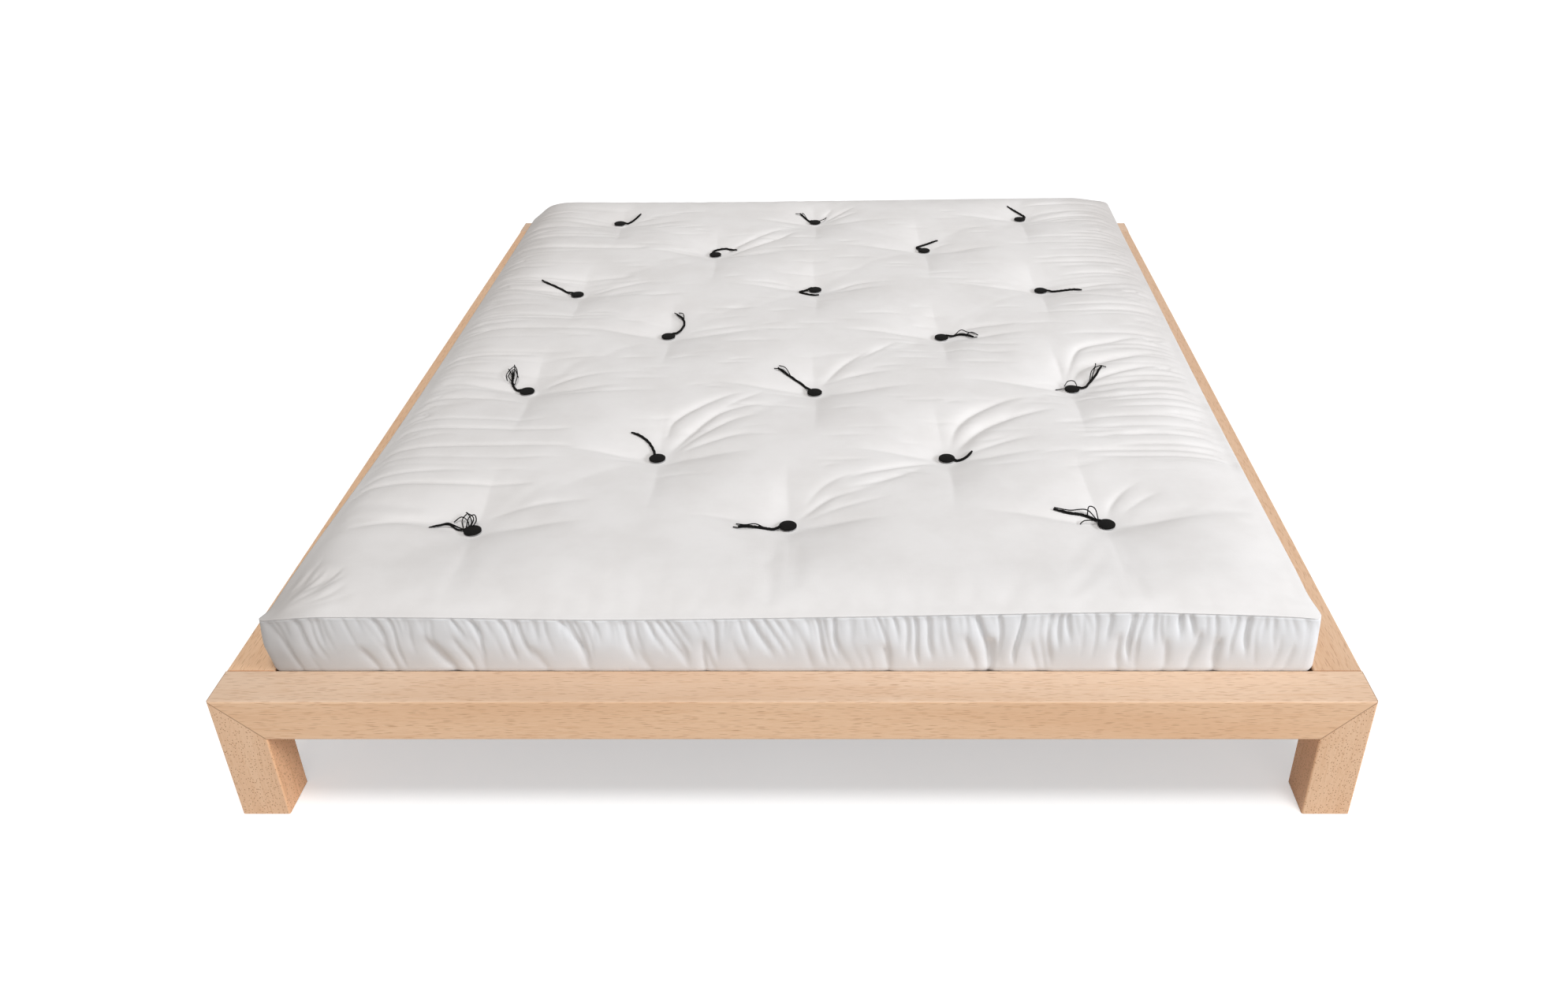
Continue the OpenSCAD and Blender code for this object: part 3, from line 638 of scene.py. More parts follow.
# Folds: valleys in the cloth, each a smooth line with a sharp bottom

def smooth_route(points, count):
    """Points of a smooth curve through the given ones."""
    p = [np.array(q, float) for q in points]
    p = [2 * p[0] - p[1], *p, 2 * p[-1] - p[-2]]
    spans = len(p) - 3
    made = []
    for k in range(count):
        t = min(k / (count - 1) * spans, spans - 1e-9)
        i, u = int(t), t - int(t)
        a, b, c, d = p[i:i + 4]
        made.append(0.5 * (2 * b + (c - a) * u + (2 * a - 5 * b + 4 * c - d) * u * u
                           + (3 * b - a - 3 * c + d) * u ** 3))
    return np.array(made)


# A valley: the radius of its bottom, the points of its line, and the shares over which its ends fade
SHARPNESS = 0.0018
FOLD_POINTS = 18
FADE_START = 0.35
FADE_END = 0.6


def press(height, x, y, route, depth, width, ends):
    """Presses one valley into the height field along a route; ends are its shares at start and end."""
    line = smooth_route(route, FOLD_POINTS)
    low, high = line.min(0) - 5 * width, line.max(0) + 5 * width
    near = (x > low[0]) & (x < high[0]) & (y > low[1]) & (y < high[1])
    if not near.any():
        return
    px, py = x[near], y[near]
    best = np.full(px.shape, 1e9)
    along = np.zeros(px.shape)
    for k in range(len(line) - 1):
        start, step = line[k], line[k + 1] - line[k]
        t = np.clip(((px - start[0]) * step[0] + (py - start[1]) * step[1]) / (step @ step), 0, 1)
        away = np.hypot(px - start[0] - t * step[0], py - start[1] - t * step[1])
        closer = away < best
        best[closer] = away[closer]
        along[closer] = (k + t[closer]) / (len(line) - 1)
    first, last = ends
    fade = first + (1 - first) * soft_step(along, 0, FADE_START)
    fade *= last + (1 - last) * soft_step(1 - along, 0, FADE_END)
    bottom = np.exp(-(np.hypot(best, SHARPNESS) - SHARPNESS) / width)
    height[near] -= depth * fade * bottom


DIP = 0.022


def on_cloth(tuft, route):
    """Brings a route, read off the photograph as if the top were level, onto the cloth round a tuft.

    The cloth dips at the tuft, so the camera sees its middle too near; further out it sees true."""
    run = [(tuft[i] - EYE[i]) / (EYE[2] - SEAM_Z) for i in (0, 1)]
    made = []
    for u, v in route:
        back = DIP * (1 - math.exp(-math.hypot(u, v) / TUFT_REACH))
        made.append((tuft[0] + u - back * run[0], tuft[1] + v - back * run[1]))
    return made


# Creases that every tuft sends out, in millimetres in plan from its middle: depth, width, route
TUFT_CREASES = [
    (6.6, 13, [(0, 0), (66, 18), (135, 32), (225, 40)]),
    (5.0, 13, [(0, 0), (-70, 26), (-140, 42), (-230, 50)]),
    (6.0, 26, [(0, 0), (-4, 80), (-10, 160), (-12, 250)]),
    (6.0, 24, [(0, 0), (5, -60), (6, -120), (2, -210)]),
]

# Folds read off the photograph: the tuft they start at (foot row first, left to right), then depth,
# width and route in millimetres. They are pressed deeper and narrower than they were read.
FOLD_DEPTH = 1.8
FOLD_WIDTH = 0.85
FOLDS = [
    (0, 2.0, 9, [(20, 60), (88, 91), (142, 101), (200, 108)]),
    (0, 4.2, 11, [(-30, 12), (-75, 40), (-130, 42), (-190, 24), (-226, 12)]),
    (1, 2.4, 8, [(10, 30), (33, 62), (67, 100), (113, 122), (160, 150)]),
    (1, 1.6, 8, [(40, 40), (85, 68), (135, 88), (190, 110)]),
    (1, 1.8, 10, [(30, 90), (55, 140), (95, 175), (140, 190)]),
    (2, 2.4, 8, [(12, 40), (27, 82), (54, 118), (102, 158)]),
    (2, 1.4, 8, [(50, 60), (90, 95), (130, 115)]),
    (3, 5.2, 10, [(6, 20), (22, 62), (64, 146), (98, 194), (154, 226), (205, 240)]),
    (3, 4.4, 10, [(4, 110), (10, 160), (50, 214), (103, 262), (152, 286)]),
    (3, 2.6, 9, [(50, 50), (82, 72), (142, 102), (190, 112)]),
    (3, 3.0, 9, [(34, 60), (90, 130), (130, 166), (185, 190)]),
    (4, 6.8, 12, [(6, 18), (30, 73), (70, 127), (116, 162), (196, 202), (240, 214)]),
    (4, 5.8, 12, [(10, 60), (24, 132), (50, 176), (91, 214), (146, 250), (232, 284)]),
    (4, 2.4, 9, [(40, 36), (85, 62), (140, 84), (190, 90)]),
    (4, 3.4, 9, [(-20, -4), (-67, -14), (-112, -30), (-160, -52), (-200, -80)]),
    (4, 2.2, 9, [(-50, -30), (-100, -62), (-150, -85), (-200, -100)]),
    (5, 3.0, 8, [(30, 42), (57, 66), (103, 85), (210, 98)]),
    (5, 1.6, 8, [(60, 0), (120, 6), (200, 4)]),
    (6, 3.0, 9, [(12, 60), (30, 98), (56, 144), (90, 184), (118, 225)]),
    (6, 2.2, 8, [(50, 80), (100, 100), (190, 112)]),
    (6, 1.8, 9, [(-110, 5), (-150, -30), (-190, -80)]),
    (7, 5.6, 11, [(8, 10), (58, 44), (120, 60), (190, 62), (232, 40)]),
    (7, 5.4, 10, [(10, 30), (58, 70), (111, 98), (191, 120), (238, 105)]),
    (7, 6.2, 11, [(4, 34), (36, 112), (78, 143), (125, 160), (185, 178), (236, 160)]),
    (7, 4.6, 10, [(4, 80), (36, 184), (64, 218), (124, 240), (182, 258), (236, 240)]),
    (7, 3.0, 8, [(-6, 40), (-4, 110), (-8, 190)]),
    (7, 2.2, 8, [(30, -10), (90, -16), (160, -12), (220, -34)]),
    (8, 1.6, 8, [(50, 46), (120, 60), (190, 64)]),
    (9, 3.4, 9, [(20, 34), (62, 72), (142, 82), (212, 89)]),
    (9, 2.4, 8, [(60, -16), (120, -26), (200, -30)]),
    (9, 2.0, 8, [(50, -56), (110, -66), (170, -64)]),
    (9, 2.2, 9, [(-110, -30), (-150, -70), (-190, -120)]),
    (10, 3.0, 8, [(36, 36), (90, 66), (142, 84), (222, 88)]),
    (10, 2.0, 8, [(40, 4), (100, 10), (170, 8)]),
    (11, 3.2, 8, [(24, 12), (57, 34), (103, 56), (232, 64)]),
    (11, 1.6, 8, [(-60, 50), (-120, 66), (-200, 62)]),
    (12, 3.6, 9, [(20, 12), (48, 26), (108, 48), (222, 66), (250, 52)]),
    (12, 2.4, 8, [(60, -4), (130, -10), (190, -26), (240, -60)]),
    (13, 4.0, 9, [(4, 10), (22, 48), (48, 96), (82, 138), (108, 186)]),
    (13, 4.8, 10, [(30, 26), (74, 68), (121, 110), (161, 150), (187, 184), (235, 220)]),
    (13, 2.4, 8, [(64, 110), (104, 160), (150, 208), (200, 236)]),
    (13, 1.6, 8, [(60, 10), (120, 20), (180, 18)]),
    (14, 2.2, 8, [(50, 6), (100, 12), (170, 12)]),
    (15, 1.6, 8, [(40, 50), (70, 62), (110, 64)]),
    (16, 3.6, 9, [(8, 24), (48, 88), (82, 124), (118, 160)]),
    (16, 3.0, 9, [(14, 50), (30, 110), (52, 160)]),
    (16, 2.4, 8, [(40, 46), (80, 82), (124, 104)]),
    (17, 1.6, 8, [(30, -4), (90, 4), (160, -4)]),
]


# Creases differ so much from tuft to tuft. Below the foot row the cloth runs on smoothly to the seam.
SPREAD = (0.85, 1.15)
FOOT_ROW = TUFT_ROWS[0]
FOOT_ROW_SHARE = 0.40

SMALL_WRINKLES = 190
CORNER_WRINKLES = 20


def strewn(chance, first, last, step):
    """Places from first to last, each a drawn step after the one before."""
    place = first
    while place < last:
        yield place
        place += chance.uniform(*step)


def mostly_low(chance, least, most, bias):
    """A draw from least to most that is low more often than high."""
    return least + (most - least) * chance.random() ** bias


def lay_folds(height, x, y):
    """All valleys of the top: at the tufts, read off the photograph, and the fine ones by chance."""
    chance = random.Random(7)
    draw = chance.uniform

    def lay(route, depth, width, *ends):
        press(height, x, y, route, depth, width, ends)

    for k, tuft in enumerate(TUFTS):
        for depth, width, route in TUFT_CREASES:
            reach = draw(*SPREAD)
            share = FOOT_ROW_SHARE if k < FOOT_ROW and route[-1][1] < 0 else 1.0
            lay(on_cloth(tuft, [(reach * u, reach * v) for u, v in metres(route)]),
                share * depth / 1000 * draw(*SPREAD), width / 1000, 0.5, 0.0)
    for k, depth, width, route in FOLDS:
        lay(on_cloth(TUFTS[k], metres(route)), FOLD_DEPTH * depth / 1000, FOLD_WIDTH * width / 1000, 0.5, 0.0)
    for level in strewn(chance, -0.55, 0.92, (0.010, 0.036)):
        shift, start, lift = draw(-0.006, 0.006), draw(0.48, 0.70), draw(0.008, 0.024)
        depth, width = mostly_low(chance, 0.0010, 0.0052, 1.5), draw(0.0036, 0.0080)
        lay([(start, level + shift), (start + 0.07, level + lift), (0.735, level + lift),
             (0.775, level + 0.2 * lift), (0.798, level - 0.020)], depth, width, 0.0, 0.5)
    for level in strewn(chance, -0.62, 0.90, (0.010, 0.040)):
        start, lift = draw(0.42, 0.71), draw(-0.012, 0.012)
        depth, width = mostly_low(chance, 0.0008, 0.0044, 1.5), draw(0.0036, 0.0080)
        lay([(-start, level), (-start - 0.06, level + lift), (-0.745, level - 0.004),
             (-0.775, level - 0.018), (-0.796, level - 0.030)], depth, width, 0.0, 0.4)
    for _ in range(SMALL_WRINKLES):
        px, py = draw(-0.60, 0.60), draw(-0.60, 0.88)
        length, bow, rise = draw(0.06, 0.17), draw(-0.004, 0.010), draw(-0.008, 0.016)
        depth, width = draw(0.0005, 0.0022), draw(0.004, 0.0065)
        lay([(px, py), (px + length / 2, py + rise / 2 + bow), (px + length, py + rise)],
            depth, width, 0.0, 0.0)
    for _ in range(CORNER_WRINKLES):
        px, py = draw(-0.790, -0.745), draw(-0.990, -0.925)
        angle = math.atan2(py + FUTON_L / 2, px + FUTON_W / 2) + draw(-0.2, 0.2)
        reach, depth, width = draw(0.05, 0.12), draw(0.0010, 0.0032), draw(0.004, 0.007)
        turns = [(0.6 * reach, angle), (reach, angle + 0.15)]
        lay([(px, py)] + [(px + run * math.cos(way), py + run * math.sin(way)) for run, way in turns],
            depth, width, 0.3, 0.0)


# Round a pad the folds may take up this much height, and the cloth keeps this share of its climb
PAD_SEAT = 0.0015
CLIMB_KEPT = 0.2


def eased(folds, away):
    """Folds made shallower round the pads, so that the cloth still climbs all the way out from a tuft."""
    at_rim = math.exp(-PAD_R / TUFT_REACH)
    climb = (CROWN_H + TUFT_DEPTH) * (at_rim - np.exp(-np.maximum(away, PAD_R) / TUFT_REACH))
    room = PAD_SEAT + (1 - CLIMB_KEPT) * climb
    return room * np.tanh(folds / room)


# The stuffing's pressure, on a coarse cloth

CLOTH_STEP = 0.0125
SIM_FRAMES = 20
SIM_CAP = 0.010
SIM_SHARE = 0.45
EXCESS_CLOTH = 0.006
PRESSURE = 1.5
PIN_R = 0.016


def swelling(height, xs, ys):
    """Extra height of the top by a cloth that is held at its edge and its tufts, blown up from below."""
    nx, ny = round(FUTON_W / CLOTH_STEP) + 1, round(FUTON_L / CLOTH_STEP) + 1
    cx, cy = np.linspace(xs[0], xs[-1], nx), np.linspace(ys[0], ys[-1], ny)
    x, y = [a.ravel() for a in np.meshgrid(cx, cy)]
    start = np.column_stack([x, y, height(x, y) - SEAM_Z])
    faces = [(j * nx + i + 1, (j + 1) * nx + i + 1, (j + 1) * nx + i, j * nx + i)
             for j in range(ny - 1) for i in range(nx - 1)]
    edge = (abs(x) > FUTON_W / 2 - 0.001) | (abs(y) > FUTON_L / 2 - 0.001)
    held = edge | (tuft_distance(x, y) < PIN_R)
    mesh = bpy.data.meshes.new("cloth")
    mesh.from_pydata([tuple(p) for p in start], [], faces)
    sheet = new_object("cloth", mesh)
    sheet.vertex_groups.new(name="held").add([int(i) for i in np.nonzero(held)[0]], 1.0, "REPLACE")
    cloth = sheet.modifiers.new("cloth", "CLOTH")
    rule = cloth.settings
    rule.quality = 3
    rule.mass = 0.3
    rule.tension_stiffness = rule.compression_stiffness = 30
    rule.shear_stiffness = 12
    rule.bending_stiffness = 0.4
    rule.air_damping = 2
    rule.vertex_group_mass = "held"
    rule.shrink_min = -EXCESS_CLOTH
    rule.use_pressure = True
    rule.uniform_pressure_force = PRESSURE
    rule.effector_weights.gravity = 0
    cloth.collision_settings.use_collision = False
    cloth.point_cache.frame_start = 1
    cloth.point_cache.frame_end = SIM_FRAMES
    for number in range(1, SIM_FRAMES + 1):
        bpy.context.scene.frame_set(number)
    end = np.empty(len(start) * 3, np.float32)
    sheet.evaluated_get(bpy.context.evaluated_depsgraph_get()).data.vertices.foreach_get("co", end)
    bpy.data.objects.remove(sheet)
    bpy.context.scene.frame_set(1)
    rise = (end.reshape(-1, 3) - start)[:, 2].reshape(ny, nx)
    rise = SIM_SHARE * SIM_CAP * np.tanh(rise / SIM_CAP)
    return spline_weights(ys, cy) @ rise @ spline_weights(xs, cx).T


def spline_weights(new, old):
    """Weights of the old values at the new places, for a smooth cubic blend."""
    t = abs(new[:, None] - old[None, :]) / (old[1] - old[0])
    weights = np.where(t < 1, (4 - 6 * t ** 2 + 3 * t ** 3) / 6, np.where(t < 2, (2 - t) ** 3 / 6, 0))
    return weights / weights.sum(1)[:, None]


SEAM_LINES = [0.0, 0.0015, 0.004, 0.008, 0.013, 0.019]


def edge_lines(half, step):
    """Grid lines across the futon: close together at the seam, evenly spaced inside."""
    *near, first = SEAM_LINES
    inner = half - first
    middle = np.linspace(-inner, inner, round(2 * inner / step) + 1)
    return np.concatenate([[-half + d for d in near], middle, [half - d for d in reversed(near)]])


def corner_radius(x, y):
    """The corners differ as photographed: the head's are rounder, the left foot corner is the sharpest."""
    head = np.where(x > 0, HEAD_RIGHT_R, HEAD_LEFT_R)
    return np.where(y > 0, head, np.where(x > 0, FOOT_RIGHT_R, FOOT_LEFT_R))


def round_corner(x, y):
    """Moves a point of the rectangle's corner square into its rounded corner."""
    radius = corner_radius(x, y)
    cx, cy = FUTON_W / 2 - radius, FUTON_L / 2 - radius
    u = np.clip((abs(x) - cx) / radius, 0, 1)
    v = np.clip((abs(y) - cy) / radius, 0, 1)
    inside = (abs(x) > cx) & (abs(y) > cy)
    x = np.where(inside, np.sign(x) * (cx + radius * u * np.sqrt(1 - v * v / 2)), x)
    y = np.where(inside, np.sign(y) * (cy + radius * v * np.sqrt(1 - u * u / 2)), y)
    return x, y


def outward(x, y):
    """Unit vector in plan, square to the rounded outline."""
    radius = corner_radius(x, y)
    cx, cy = FUTON_W / 2 - radius, FUTON_L / 2 - radius
    dx = np.sign(x) * np.maximum(abs(x) - cx, 0)
    dy = np.sign(y) * np.maximum(abs(y) - cy, 0)
    length = np.maximum(np.hypot(dx, dy), 1e-9)
    return dx / length, dy / length


def border_profile(height, whole):
    """Offset outwards of the border from the sewn size, at a height over the base, of the whole height.

    It rests against the rail and laps over the rail's rounded edge."""
    upper = (height - SLAT_RECESS) * (BORDER_H - SLAT_RECESS) / (whole - SLAT_RECESS)
    height = np.where(height < SLAT_RECESS, height, SLAT_RECESS + upper)
    profile = [(0.0, -BASE_INSET), (0.010, -0.004), (SLAT_RECESS - 0.003, FUTON_GAP - 0.0006),
               (SLAT_RECESS, FUTON_GAP + 0.0008), (SLAT_RECESS + 0.003, FUTON_GAP + 0.0020),
               (0.6 * BORDER_H, BULGE), (BORDER_H, BULGE / 2)]
    return np.interp(height, *zip(*profile))


# The top's grid, the drops of the border's rings under the seam, the insets of the bottom's rings
GRID_X = 0.0026
GRID_Y = 0.0038
RING_DROPS = [0.0012, 0.0030, 0.006, 0.010, 0.015, 0.021, 0.028, 0.036, 0.044, 0.052, 0.061, 0.070,
              0.079, 0.087, 0.093, 0.097, 0.100, 0.103, 0.108, 0.114, 0.121, 0.127, BORDER_H]
BOTTOM_INSETS = [0.020, 0.060, 0.120, 0.220]
GROOVE = 0.0016


def gathers():
    """Pleats of the border: side, place along it, lean per metre of drop, depth, width, and drops.

    Some run down from the seam and die out, some come up from the base, as the cloth was eased in, and
    small puckers lie under the foot end's seam."""
    chance = random.Random(11)
    draw = chance.uniform
    made = []
    for place in strewn(chance, -0.780, 0.790, (0.005, 0.024)):
        right = soft_step(place, -0.1, 0.5)
        lean = (1 - right) * draw(0.10, 0.46) + right * draw(-0.14, 0.16)
        low = chance.random() < 0.22 + 0.20 * right
        depth = mostly_low(chance, 0.0008, 0.0046 + 0.0026 * right, 1.3)
        width = (2.0 if low else 1.0) * draw(0.0012, 0.0030)
        first = draw(0.030, 0.055) if low else 0.0
        last = BORDER_H if low else draw(0.045, 0.100)
        made.append(("foot", place, lean, depth, width, first, last))
    for side, half in (("left", FUTON_L / 2), ("right", FUTON_L / 2), ("head", FUTON_W / 2)):
        for place in strewn(chance, -half + 0.03, half - 0.03, (0.014, 0.044)):
            lean, depth = draw(-0.2, 0.2), mostly_low(chance, 0.0012, 0.0060, 1.4)
            width, first, last = draw(0.0028, 0.0056), draw(0.0, 0.02), draw(0.06, 0.13)
            made.append((side, place, lean, depth, width, first, last))
    for place in strewn(chance, -0.785, 0.790, (0.008, 0.026)):
        lean, depth, width = draw(-0.1, 0.3), draw(0.0006, 0.0020), draw(0.0012, 0.0022)
        made.append(("foot", place, lean, depth, width, 0.0, draw(0.034, 0.050)))
    return made


# A pleat: its steeper flank, the radius of its bottom, its fading in and out, its sway on its way down,
# and the drops below which the rail holds a share of it flat
STEEP = 2.0
PLEAT_BOTTOM = 0.0008
PLEAT_FADE_IN = (-0.004, 0.010)
PLEAT_FADE_OUT = 0.03
SWAY = 0.004
SWAY_RUN = 0.021
SWAY_CHANGE = 40
HELD_DROPS = (0.080, 0.100)
HELD_DOWN = 0.60


def gathered(x, y, drop, pleats):
    """Depth of the pleats at the outline's points, at one drop under the seam; one flank is steeper."""
    deep = np.zeros(len(x))
    front = {"foot": -y, "head": y, "left": -x, "right": x}
    held = float(1 - HELD_DOWN * soft_step(drop, *HELD_DROPS))
    for side, place, lean, depth, width, first, last in pleats:
        along = x if side in ("foot", "head") else y
        size = FUTON_L / 2 if side in ("foot", "head") else FUTON_W / 2
        beside = front[side] > size - FOOT_RIGHT_R
        fade_in = soft_step(drop, *[first + d for d in PLEAT_FADE_IN])
        fade = float(fade_in * (1 - soft_step(drop, last - PLEAT_FADE_OUT, last))) * held
        sway = SWAY * math.sin(drop / SWAY_RUN + SWAY_CHANGE * place)
        off = along - place - lean * drop - sway
        off = np.hypot(np.where(off > 0, off, off / STEEP), PLEAT_BOTTOM) - PLEAT_BOTTOM
        deep += beside * depth * fade * np.exp(-off / width)
    return deep


# The border's corner seam shows at the left of the foot end, slanting inwards
CORNER_SEAM = ("foot", -0.790, 0.36, 0.0030, 0.0016, 0.0, 0.160)

# The folds fade out towards the pads and the seam; the crown takes back part of the swelling; the edge
# bulges from so far inside; the seam's groove lies within so much drop, and the drawing in fades below
COLLAR = (0.009, 0.017)
SEAM_FLAT = (0.0, 0.014)
SETTLED = 0.5
EDGE_RUN = 0.08
GROOVE_DROP = 0.002
DRAW_FADE = (0.3, 0.80)


def band(last, ring):
    """Faces between two rings of points, given by their numbers."""
    count = len(ring)
    return [(last[k], ring[k], ring[(k + 1) % count], last[(k + 1) % count]) for k in range(count)]


def futon_shell():
    """Points and faces of the closed futon: the top's grid, the border's rings, the bottom's."""
    xs, ys = edge_lines(FUTON_W / 2, GRID_X), edge_lines(FUTON_L / 2, GRID_Y)
    nx, ny = len(xs), len(ys)
    square_x, square_y = np.meshgrid(xs, ys)
    inside_x, inside_y = FUTON_W / 2 - abs(square_x), FUTON_L / 2 - abs(square_y)
    rise = swelling(stuffed, xs, ys)
    rise = rise - rise.max() * SETTLED * crown_share(inside_x) * crown_share(inside_y)
    x, y = [a.ravel() for a in round_corner(square_x, square_y)]
    folds = np.zeros(len(x))
    lay_folds(folds, x, y)
    away = tuft_distance(x, y)
    free = soft_step(away, *COLLAR) * soft_step(np.minimum(inside_x, inside_y).ravel(), *SEAM_FLAT)
    z = stuffed(x, y) + (eased(folds, away) + rise.ravel()) * free
    near_x, near_y = [np.clip(1 - inside / EDGE_RUN, 0, 1) ** 2
                      for inside in (FUTON_W / 2 - abs(x), FUTON_L / 2 - abs(y))]
    bulge = np.maximum(near_x, near_y) * BULGE / 2
    ox, oy = outward(x, y)
    shift_x, shift_y = edge_draw(x, y)
    points = [np.stack([x + ox * bulge + shift_x, y + oy * bulge + shift_y, z], 1)]
    faces = [(j * nx + i, j * nx + i + 1, (j + 1) * nx + i + 1, (j + 1) * nx + i)
             for j in range(ny - 1) for i in range(nx - 1)]
    rim = ([i for i in range(nx - 1)] + [j * nx + nx - 1 for j in range(ny - 1)]
           + [(ny - 1) * nx + i for i in range(nx - 1, 0, -1)] + [j * nx for j in range(ny - 1, 0, -1)])
    rx, ry, seam = x[rim], y[rim], z[rim]
    ox, oy = outward(rx, ry)
    shift_x, shift_y = edge_draw(rx, ry)
    pleats = gathers() + [CORNER_SEAM]
    for drop in RING_DROPS:
        share = drop / BORDER_H
        level = seam * (1 - share) + BASE_Z * share
        off = border_profile(level - BASE_Z, seam - BASE_Z) - gathered(rx, ry, drop, pleats)
        if drop < GROOVE_DROP:
            off = off - GROOVE
        drawn = 1 - soft_step(share, *DRAW_FADE)
        points.append(np.stack([rx + ox * off + shift_x * drawn, ry + oy * off + shift_y * drawn, level], 1))
    for inset in BOTTOM_INSETS:
        shrink_x, shrink_y = [1 - (BASE_INSET + inset) / (size / 2) for size in (FUTON_W, FUTON_L)]
        points.append(np.stack([rx * shrink_x, ry * shrink_y, np.full(len(rim), BASE_Z)], 1))
    last = rim
    for number in range(len(points) - 1):
        ring = range(nx * ny + number * len(rim), nx * ny + (number + 1) * len(rim))
        faces += band(last, ring)
        last = ring
    faces.append(tuple(reversed(last)))
    return np.concatenate(points), faces


def mesh_object(name, points, faces, material):
    """A smooth-shaded piece."""
    mesh = bpy.data.meshes.new(name)
    mesh.from_pydata([tuple(p) for p in points], [], faces)
    mesh.polygons.foreach_set("use_smooth", [True] * len(mesh.polygons))
    mesh.materials.append(material)
    mesh.update()
    return new_object(name, mesh)


def make_futon():
    points, faces = futon_shell()
    futon = mesh_object("futon_cover", points, faces, cotton("calico"))
    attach(futon, "futon")
    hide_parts("futon")
    return futon


# Loose cord ends

def tube_mesh(path, radius, sides, lobes=0, turns=0.0, depth=0.0):
    """Points and faces of a closed tube; lobes give it the twisted yarns of a cord."""
    path = np.asarray(path)
    tangent = np.gradient(path, axis=0)
    tangent /= np.linalg.norm(tangent, axis=1)[:, None]
    side = np.cross(tangent, (0, 0, 1.0))
    side /= np.maximum(np.linalg.norm(side, axis=1), 1e-9)[:, None]
    up = np.cross(side, tangent)
    radii = np.broadcast_to(radius, len(path))
    points, faces = [], []
    for k in range(len(path)):
        twist = 2 * math.pi * turns * k / (len(path) - 1)
        for s in range(sides):
            a = 2 * math.pi * s / sides
            r = radii[k] * (1 - depth * (0.5 - 0.5 * math.cos(lobes * (a - twist))))
            points.append(path[k] + r * (math.cos(a) * side[k] + math.sin(a) * up[k]))
    for k in range(len(path) - 1):
        for s in range(sides):
            a, b = k * sides + s, k * sides + (s + 1) % sides
            faces.append((a, a + sides, b + sides, b))
    faces.append(tuple(range(sides)))
    faces.append(tuple(reversed(range((len(path) - 1) * sides, len(path) * sides))))
    return points, faces


def lie_on(surface, flat, clearance):
    """Heights that keep a path on the cloth."""
    z = []
    for x, y in flat:
        hit = surface.ray_cast(Vector((x, y, 1.0)), Vector((0, 0, -1.0)))[0]
        z.append((hit.z if hit else SEAM_Z) + clearance)
    z = np.array(z)
    for _ in range(3):
        z[1:-1] = np.maximum(z[1:-1], (z[:-2] + z[2:]) / 2)
    return z


# A cord end: its twisted yarns, how close it lies on the cloth, how it leaves the pad's rim, its tip;
# then the thin strands
ROPE_R = 0.0028
ROPE_POINTS = 34
ROPE_SIDES = 14
YARNS = 3
YARN_PITCH = 0.011
YARN_DEPTH = 0.34
LIE_SHARE = 0.9
PAD_POINTS = 7
TIP_POINTS = 6
TIP_SHARE = 0.62
STRAND_R = 0.0010
STRAND_POINTS = 20
STRAND_SIDES = 6

# The first tail is all unravelled, so its core is thin
UNRAVELLED = {0: 0.65}

# Loose strands of the frayed ends, by tuft: routes from the tuft outwards with the height over the
# cloth, in millimetres
STRANDS = {
    0: [[(-6, 4, 2), (-12, 20, 8), (-24, 28, 8), (-36, 20, 2)],
        [(-8, 2, 2), (-4, 16, 10), (-14, 34, 11), (-20, 42, 6)],
        [(-4, 6, 2), (4, 14, 12), (-2, 30, 14), (-12, 28, 9), (-14, 12, 2)],
        [(-10, 2, 2), (-28, 10, 3), (-46, 16, 3), (-62, 8, 1)],
        [(-10, 0, 2), (-30, 8, 5), (-50, 10, 4), (-66, 4, 1)],
        [(-6, 8, 2), (-2, 22, 13), (-14, 32, 13), (-22, 22, 7), (-18, 10, 2)]],
    1: [[(-40, -14, 3), (-54, -10, 5), (-70, -16, 3), (-86, -14, 1)],
        [(-50, -16, 3), (-66, -24, 4), (-80, -28, 2), (-90, -26, 1)]],
    2: [[(-12, 10, 4), (-16, 28, 14), (-26, 34, 12), (-30, 20, 5)],
        [(-10, 8, 3), (-24, 4, 8), (-38, 2, 6), (-46, -4, 1)],
        [(-14, 12, 4), (-30, 30, 8), (-60, 26, 4), (-86, 32, 1)]],
    5: [[(-28, 16, 4), (-42, 30, 12), (-36, 58, 12), (-26, 42, 5)],
        [(-28, 18, 4), (-26, 40, 14), (-38, 68, 12), (-50, 46, 6), (-46, 30, 2)],
        [(-34, 40, 6), (-36, 62, 14), (-42, 82, 6)],
        [(-34, 36, 4), (-46, 56, 10), (-52, 70, 3)]],
    6: [[(-56, 56, 3), (-70, 70, 5), (-86, 78, 1)],
        [(-50, 50, 3), (-62, 74, 6), (-76, 90, 1)]],
    7: [[(12, 6, 4), (6, 18, 12), (-6, 22, 10), (-14, 14, 3)],
        [(40, 26, 4), (46, 50, 10), (66, 72, 6), (80, 74, 1)],
        [(44, 34, 4), (56, 66, 12), (60, 90, 4)],
        [(-8, -2, 2), (-20, 0, 3), (-34, -2, 1)]],
    8: [[(26, 68, 3), (14, 84, 6), (2, 104, 1)],
        [(28, 64, 3), (24, 88, 5), (12, 102, 1)]],
    9: [[(30, 10, 3), (44, 18, 7), (58, 8, 4), (74, 2, 1)],
        [(36, 10, 3), (52, 0, 5), (66, -14, 3), (78, -12, 1)],
        [(54, 2, 2), (66, 4, 4), (80, -6, 1)]],
    16: [[(6, 4, 3), (16, 8, 6), (26, 22, 4), (30, 36, 1)],
         [(-30, 28, 3), (-40, 34, 5), (-54, 40, 1)],
         [(-20, 14, 3), (-30, 34, 6), (-36, 50, 1)]],
}


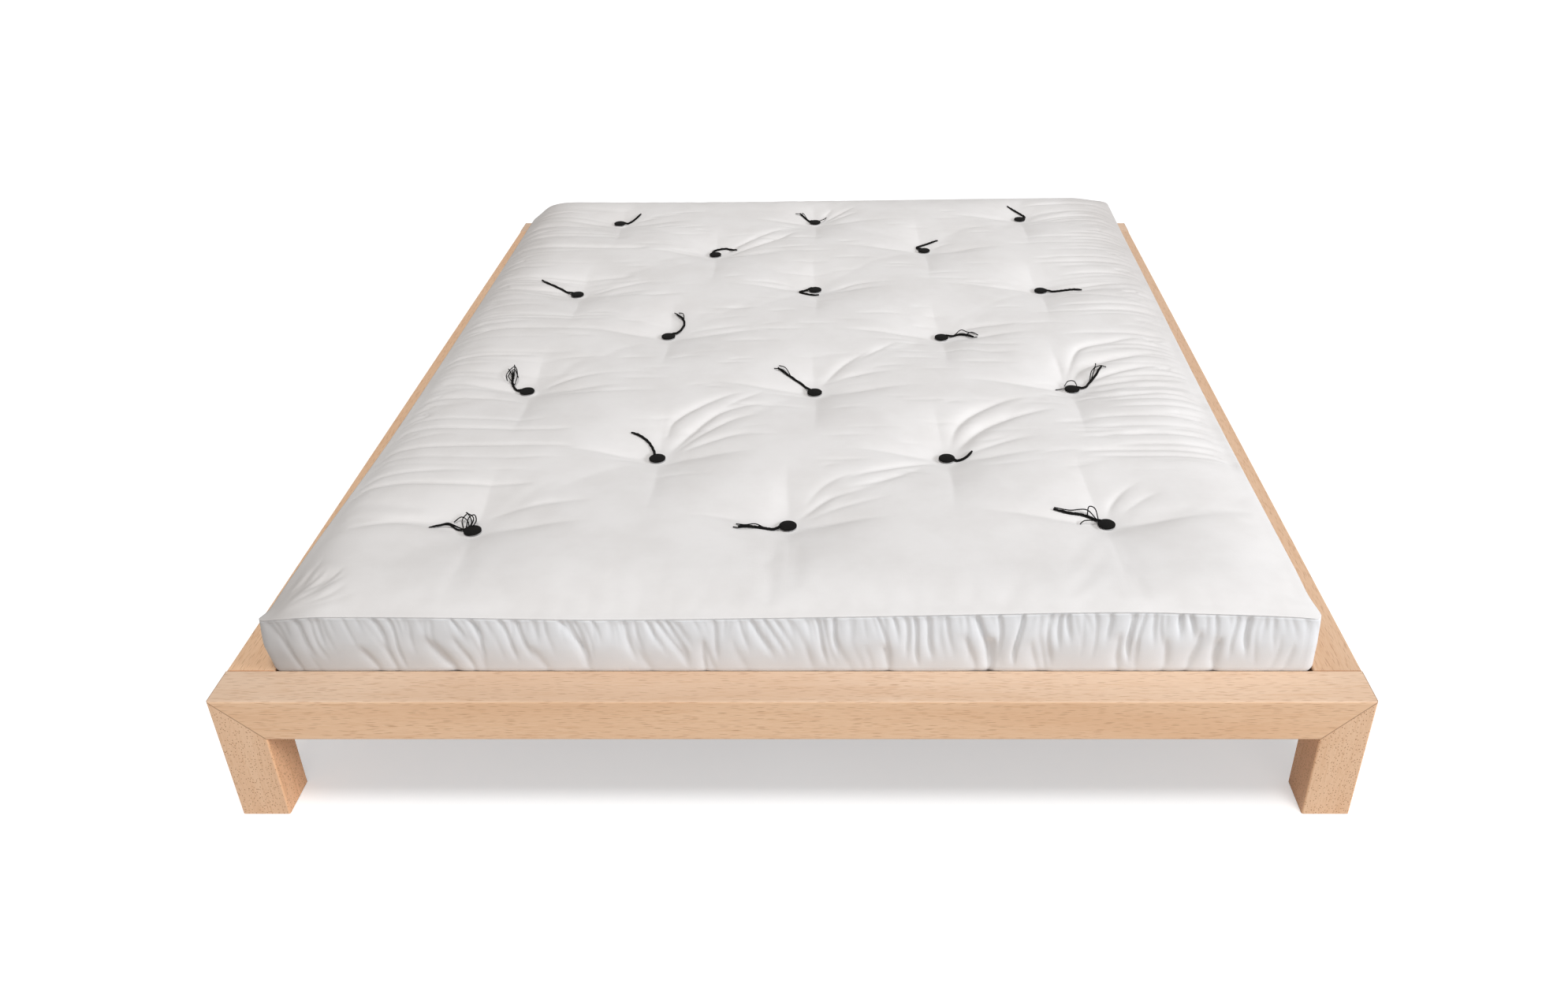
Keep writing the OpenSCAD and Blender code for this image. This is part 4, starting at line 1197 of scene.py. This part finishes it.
def strands(surface, tuft, routes):
    """One mesh of thin frayed strands, each lying on the cloth or standing over it in a loop."""
    points, faces = [], []
    for route in routes:
        way = smooth_route(metres(route), STRAND_POINTS)
        flat = way[:, :2] + np.array(tuft[:2])
        path = np.column_stack([flat, lie_on(surface, flat, STRAND_R) + way[:, 2]])
        more, sides = tube_mesh(path, STRAND_R, STRAND_SIDES)
        faces += [tuple(i + len(points) for i in side) for side in sides]
        points += more
    return points, faces


def make_tails(futon, material):
    graph = bpy.context.evaluated_depsgraph_get()
    surface = BVHTree.FromObject(futon, graph)
    for k, (tuft, route) in enumerate(zip(TUFTS, TAIL_ROUTES)):
        flat = smooth_route(metres(route), ROPE_POINTS) + np.array(tuft[:2])
        thick = ROPE_R * UNRAVELLED.get(k, 1.0)
        z = lie_on(surface, flat, thick * LIE_SHARE)
        rim = tuft[2] - CORD_D / 4
        share = np.clip(1 - np.arange(ROPE_POINTS) / PAD_POINTS, 0, 1)
        z = np.maximum(z, rim * share + z * (1 - share))
        path = np.column_stack([flat, z])
        length = float(np.linalg.norm(np.diff(path, axis=0), axis=1).sum())
        radius = np.full(ROPE_POINTS, thick)
        radius[-TIP_POINTS:] *= np.linspace(1, TIP_SHARE, TIP_POINTS)
        rope = tube_mesh(path, radius, ROPE_SIDES, YARNS, length / YARN_PITCH, YARN_DEPTH)
        tail = mesh_object(f"tail_{k:02d}", *rope, material)
        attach(tail, "futon")
        if k == 0:
            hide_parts("tuft_tails")
        if k in STRANDS:
            frayed = mesh_object(f"tail_{k:02d}_strands", *strands(surface, tuft, STRANDS[k]), material)
            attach(frayed, "futon")


bpy.context.scene.view_settings.view_transform = "Standard"
set_camera()
set_world()
add_sun("key_lamp", KEY_WAY, KEY_LIGHT, KEY_WIDTH)
add_sun("front_lamp", FRONT_WAY, FRONT_LIGHT, FRONT_WIDTH)
raking_lamp = add_panel("raking_lamp", RAKING_PLACE, RAKING_AIM, RAKING_LIGHT, RAKING_SIDE, RAKING_COLOUR)
spare(add_floor(), raking_lamp)
cord_material = dress_frame()
futon = make_futon()
make_tails(futon, cord_material)
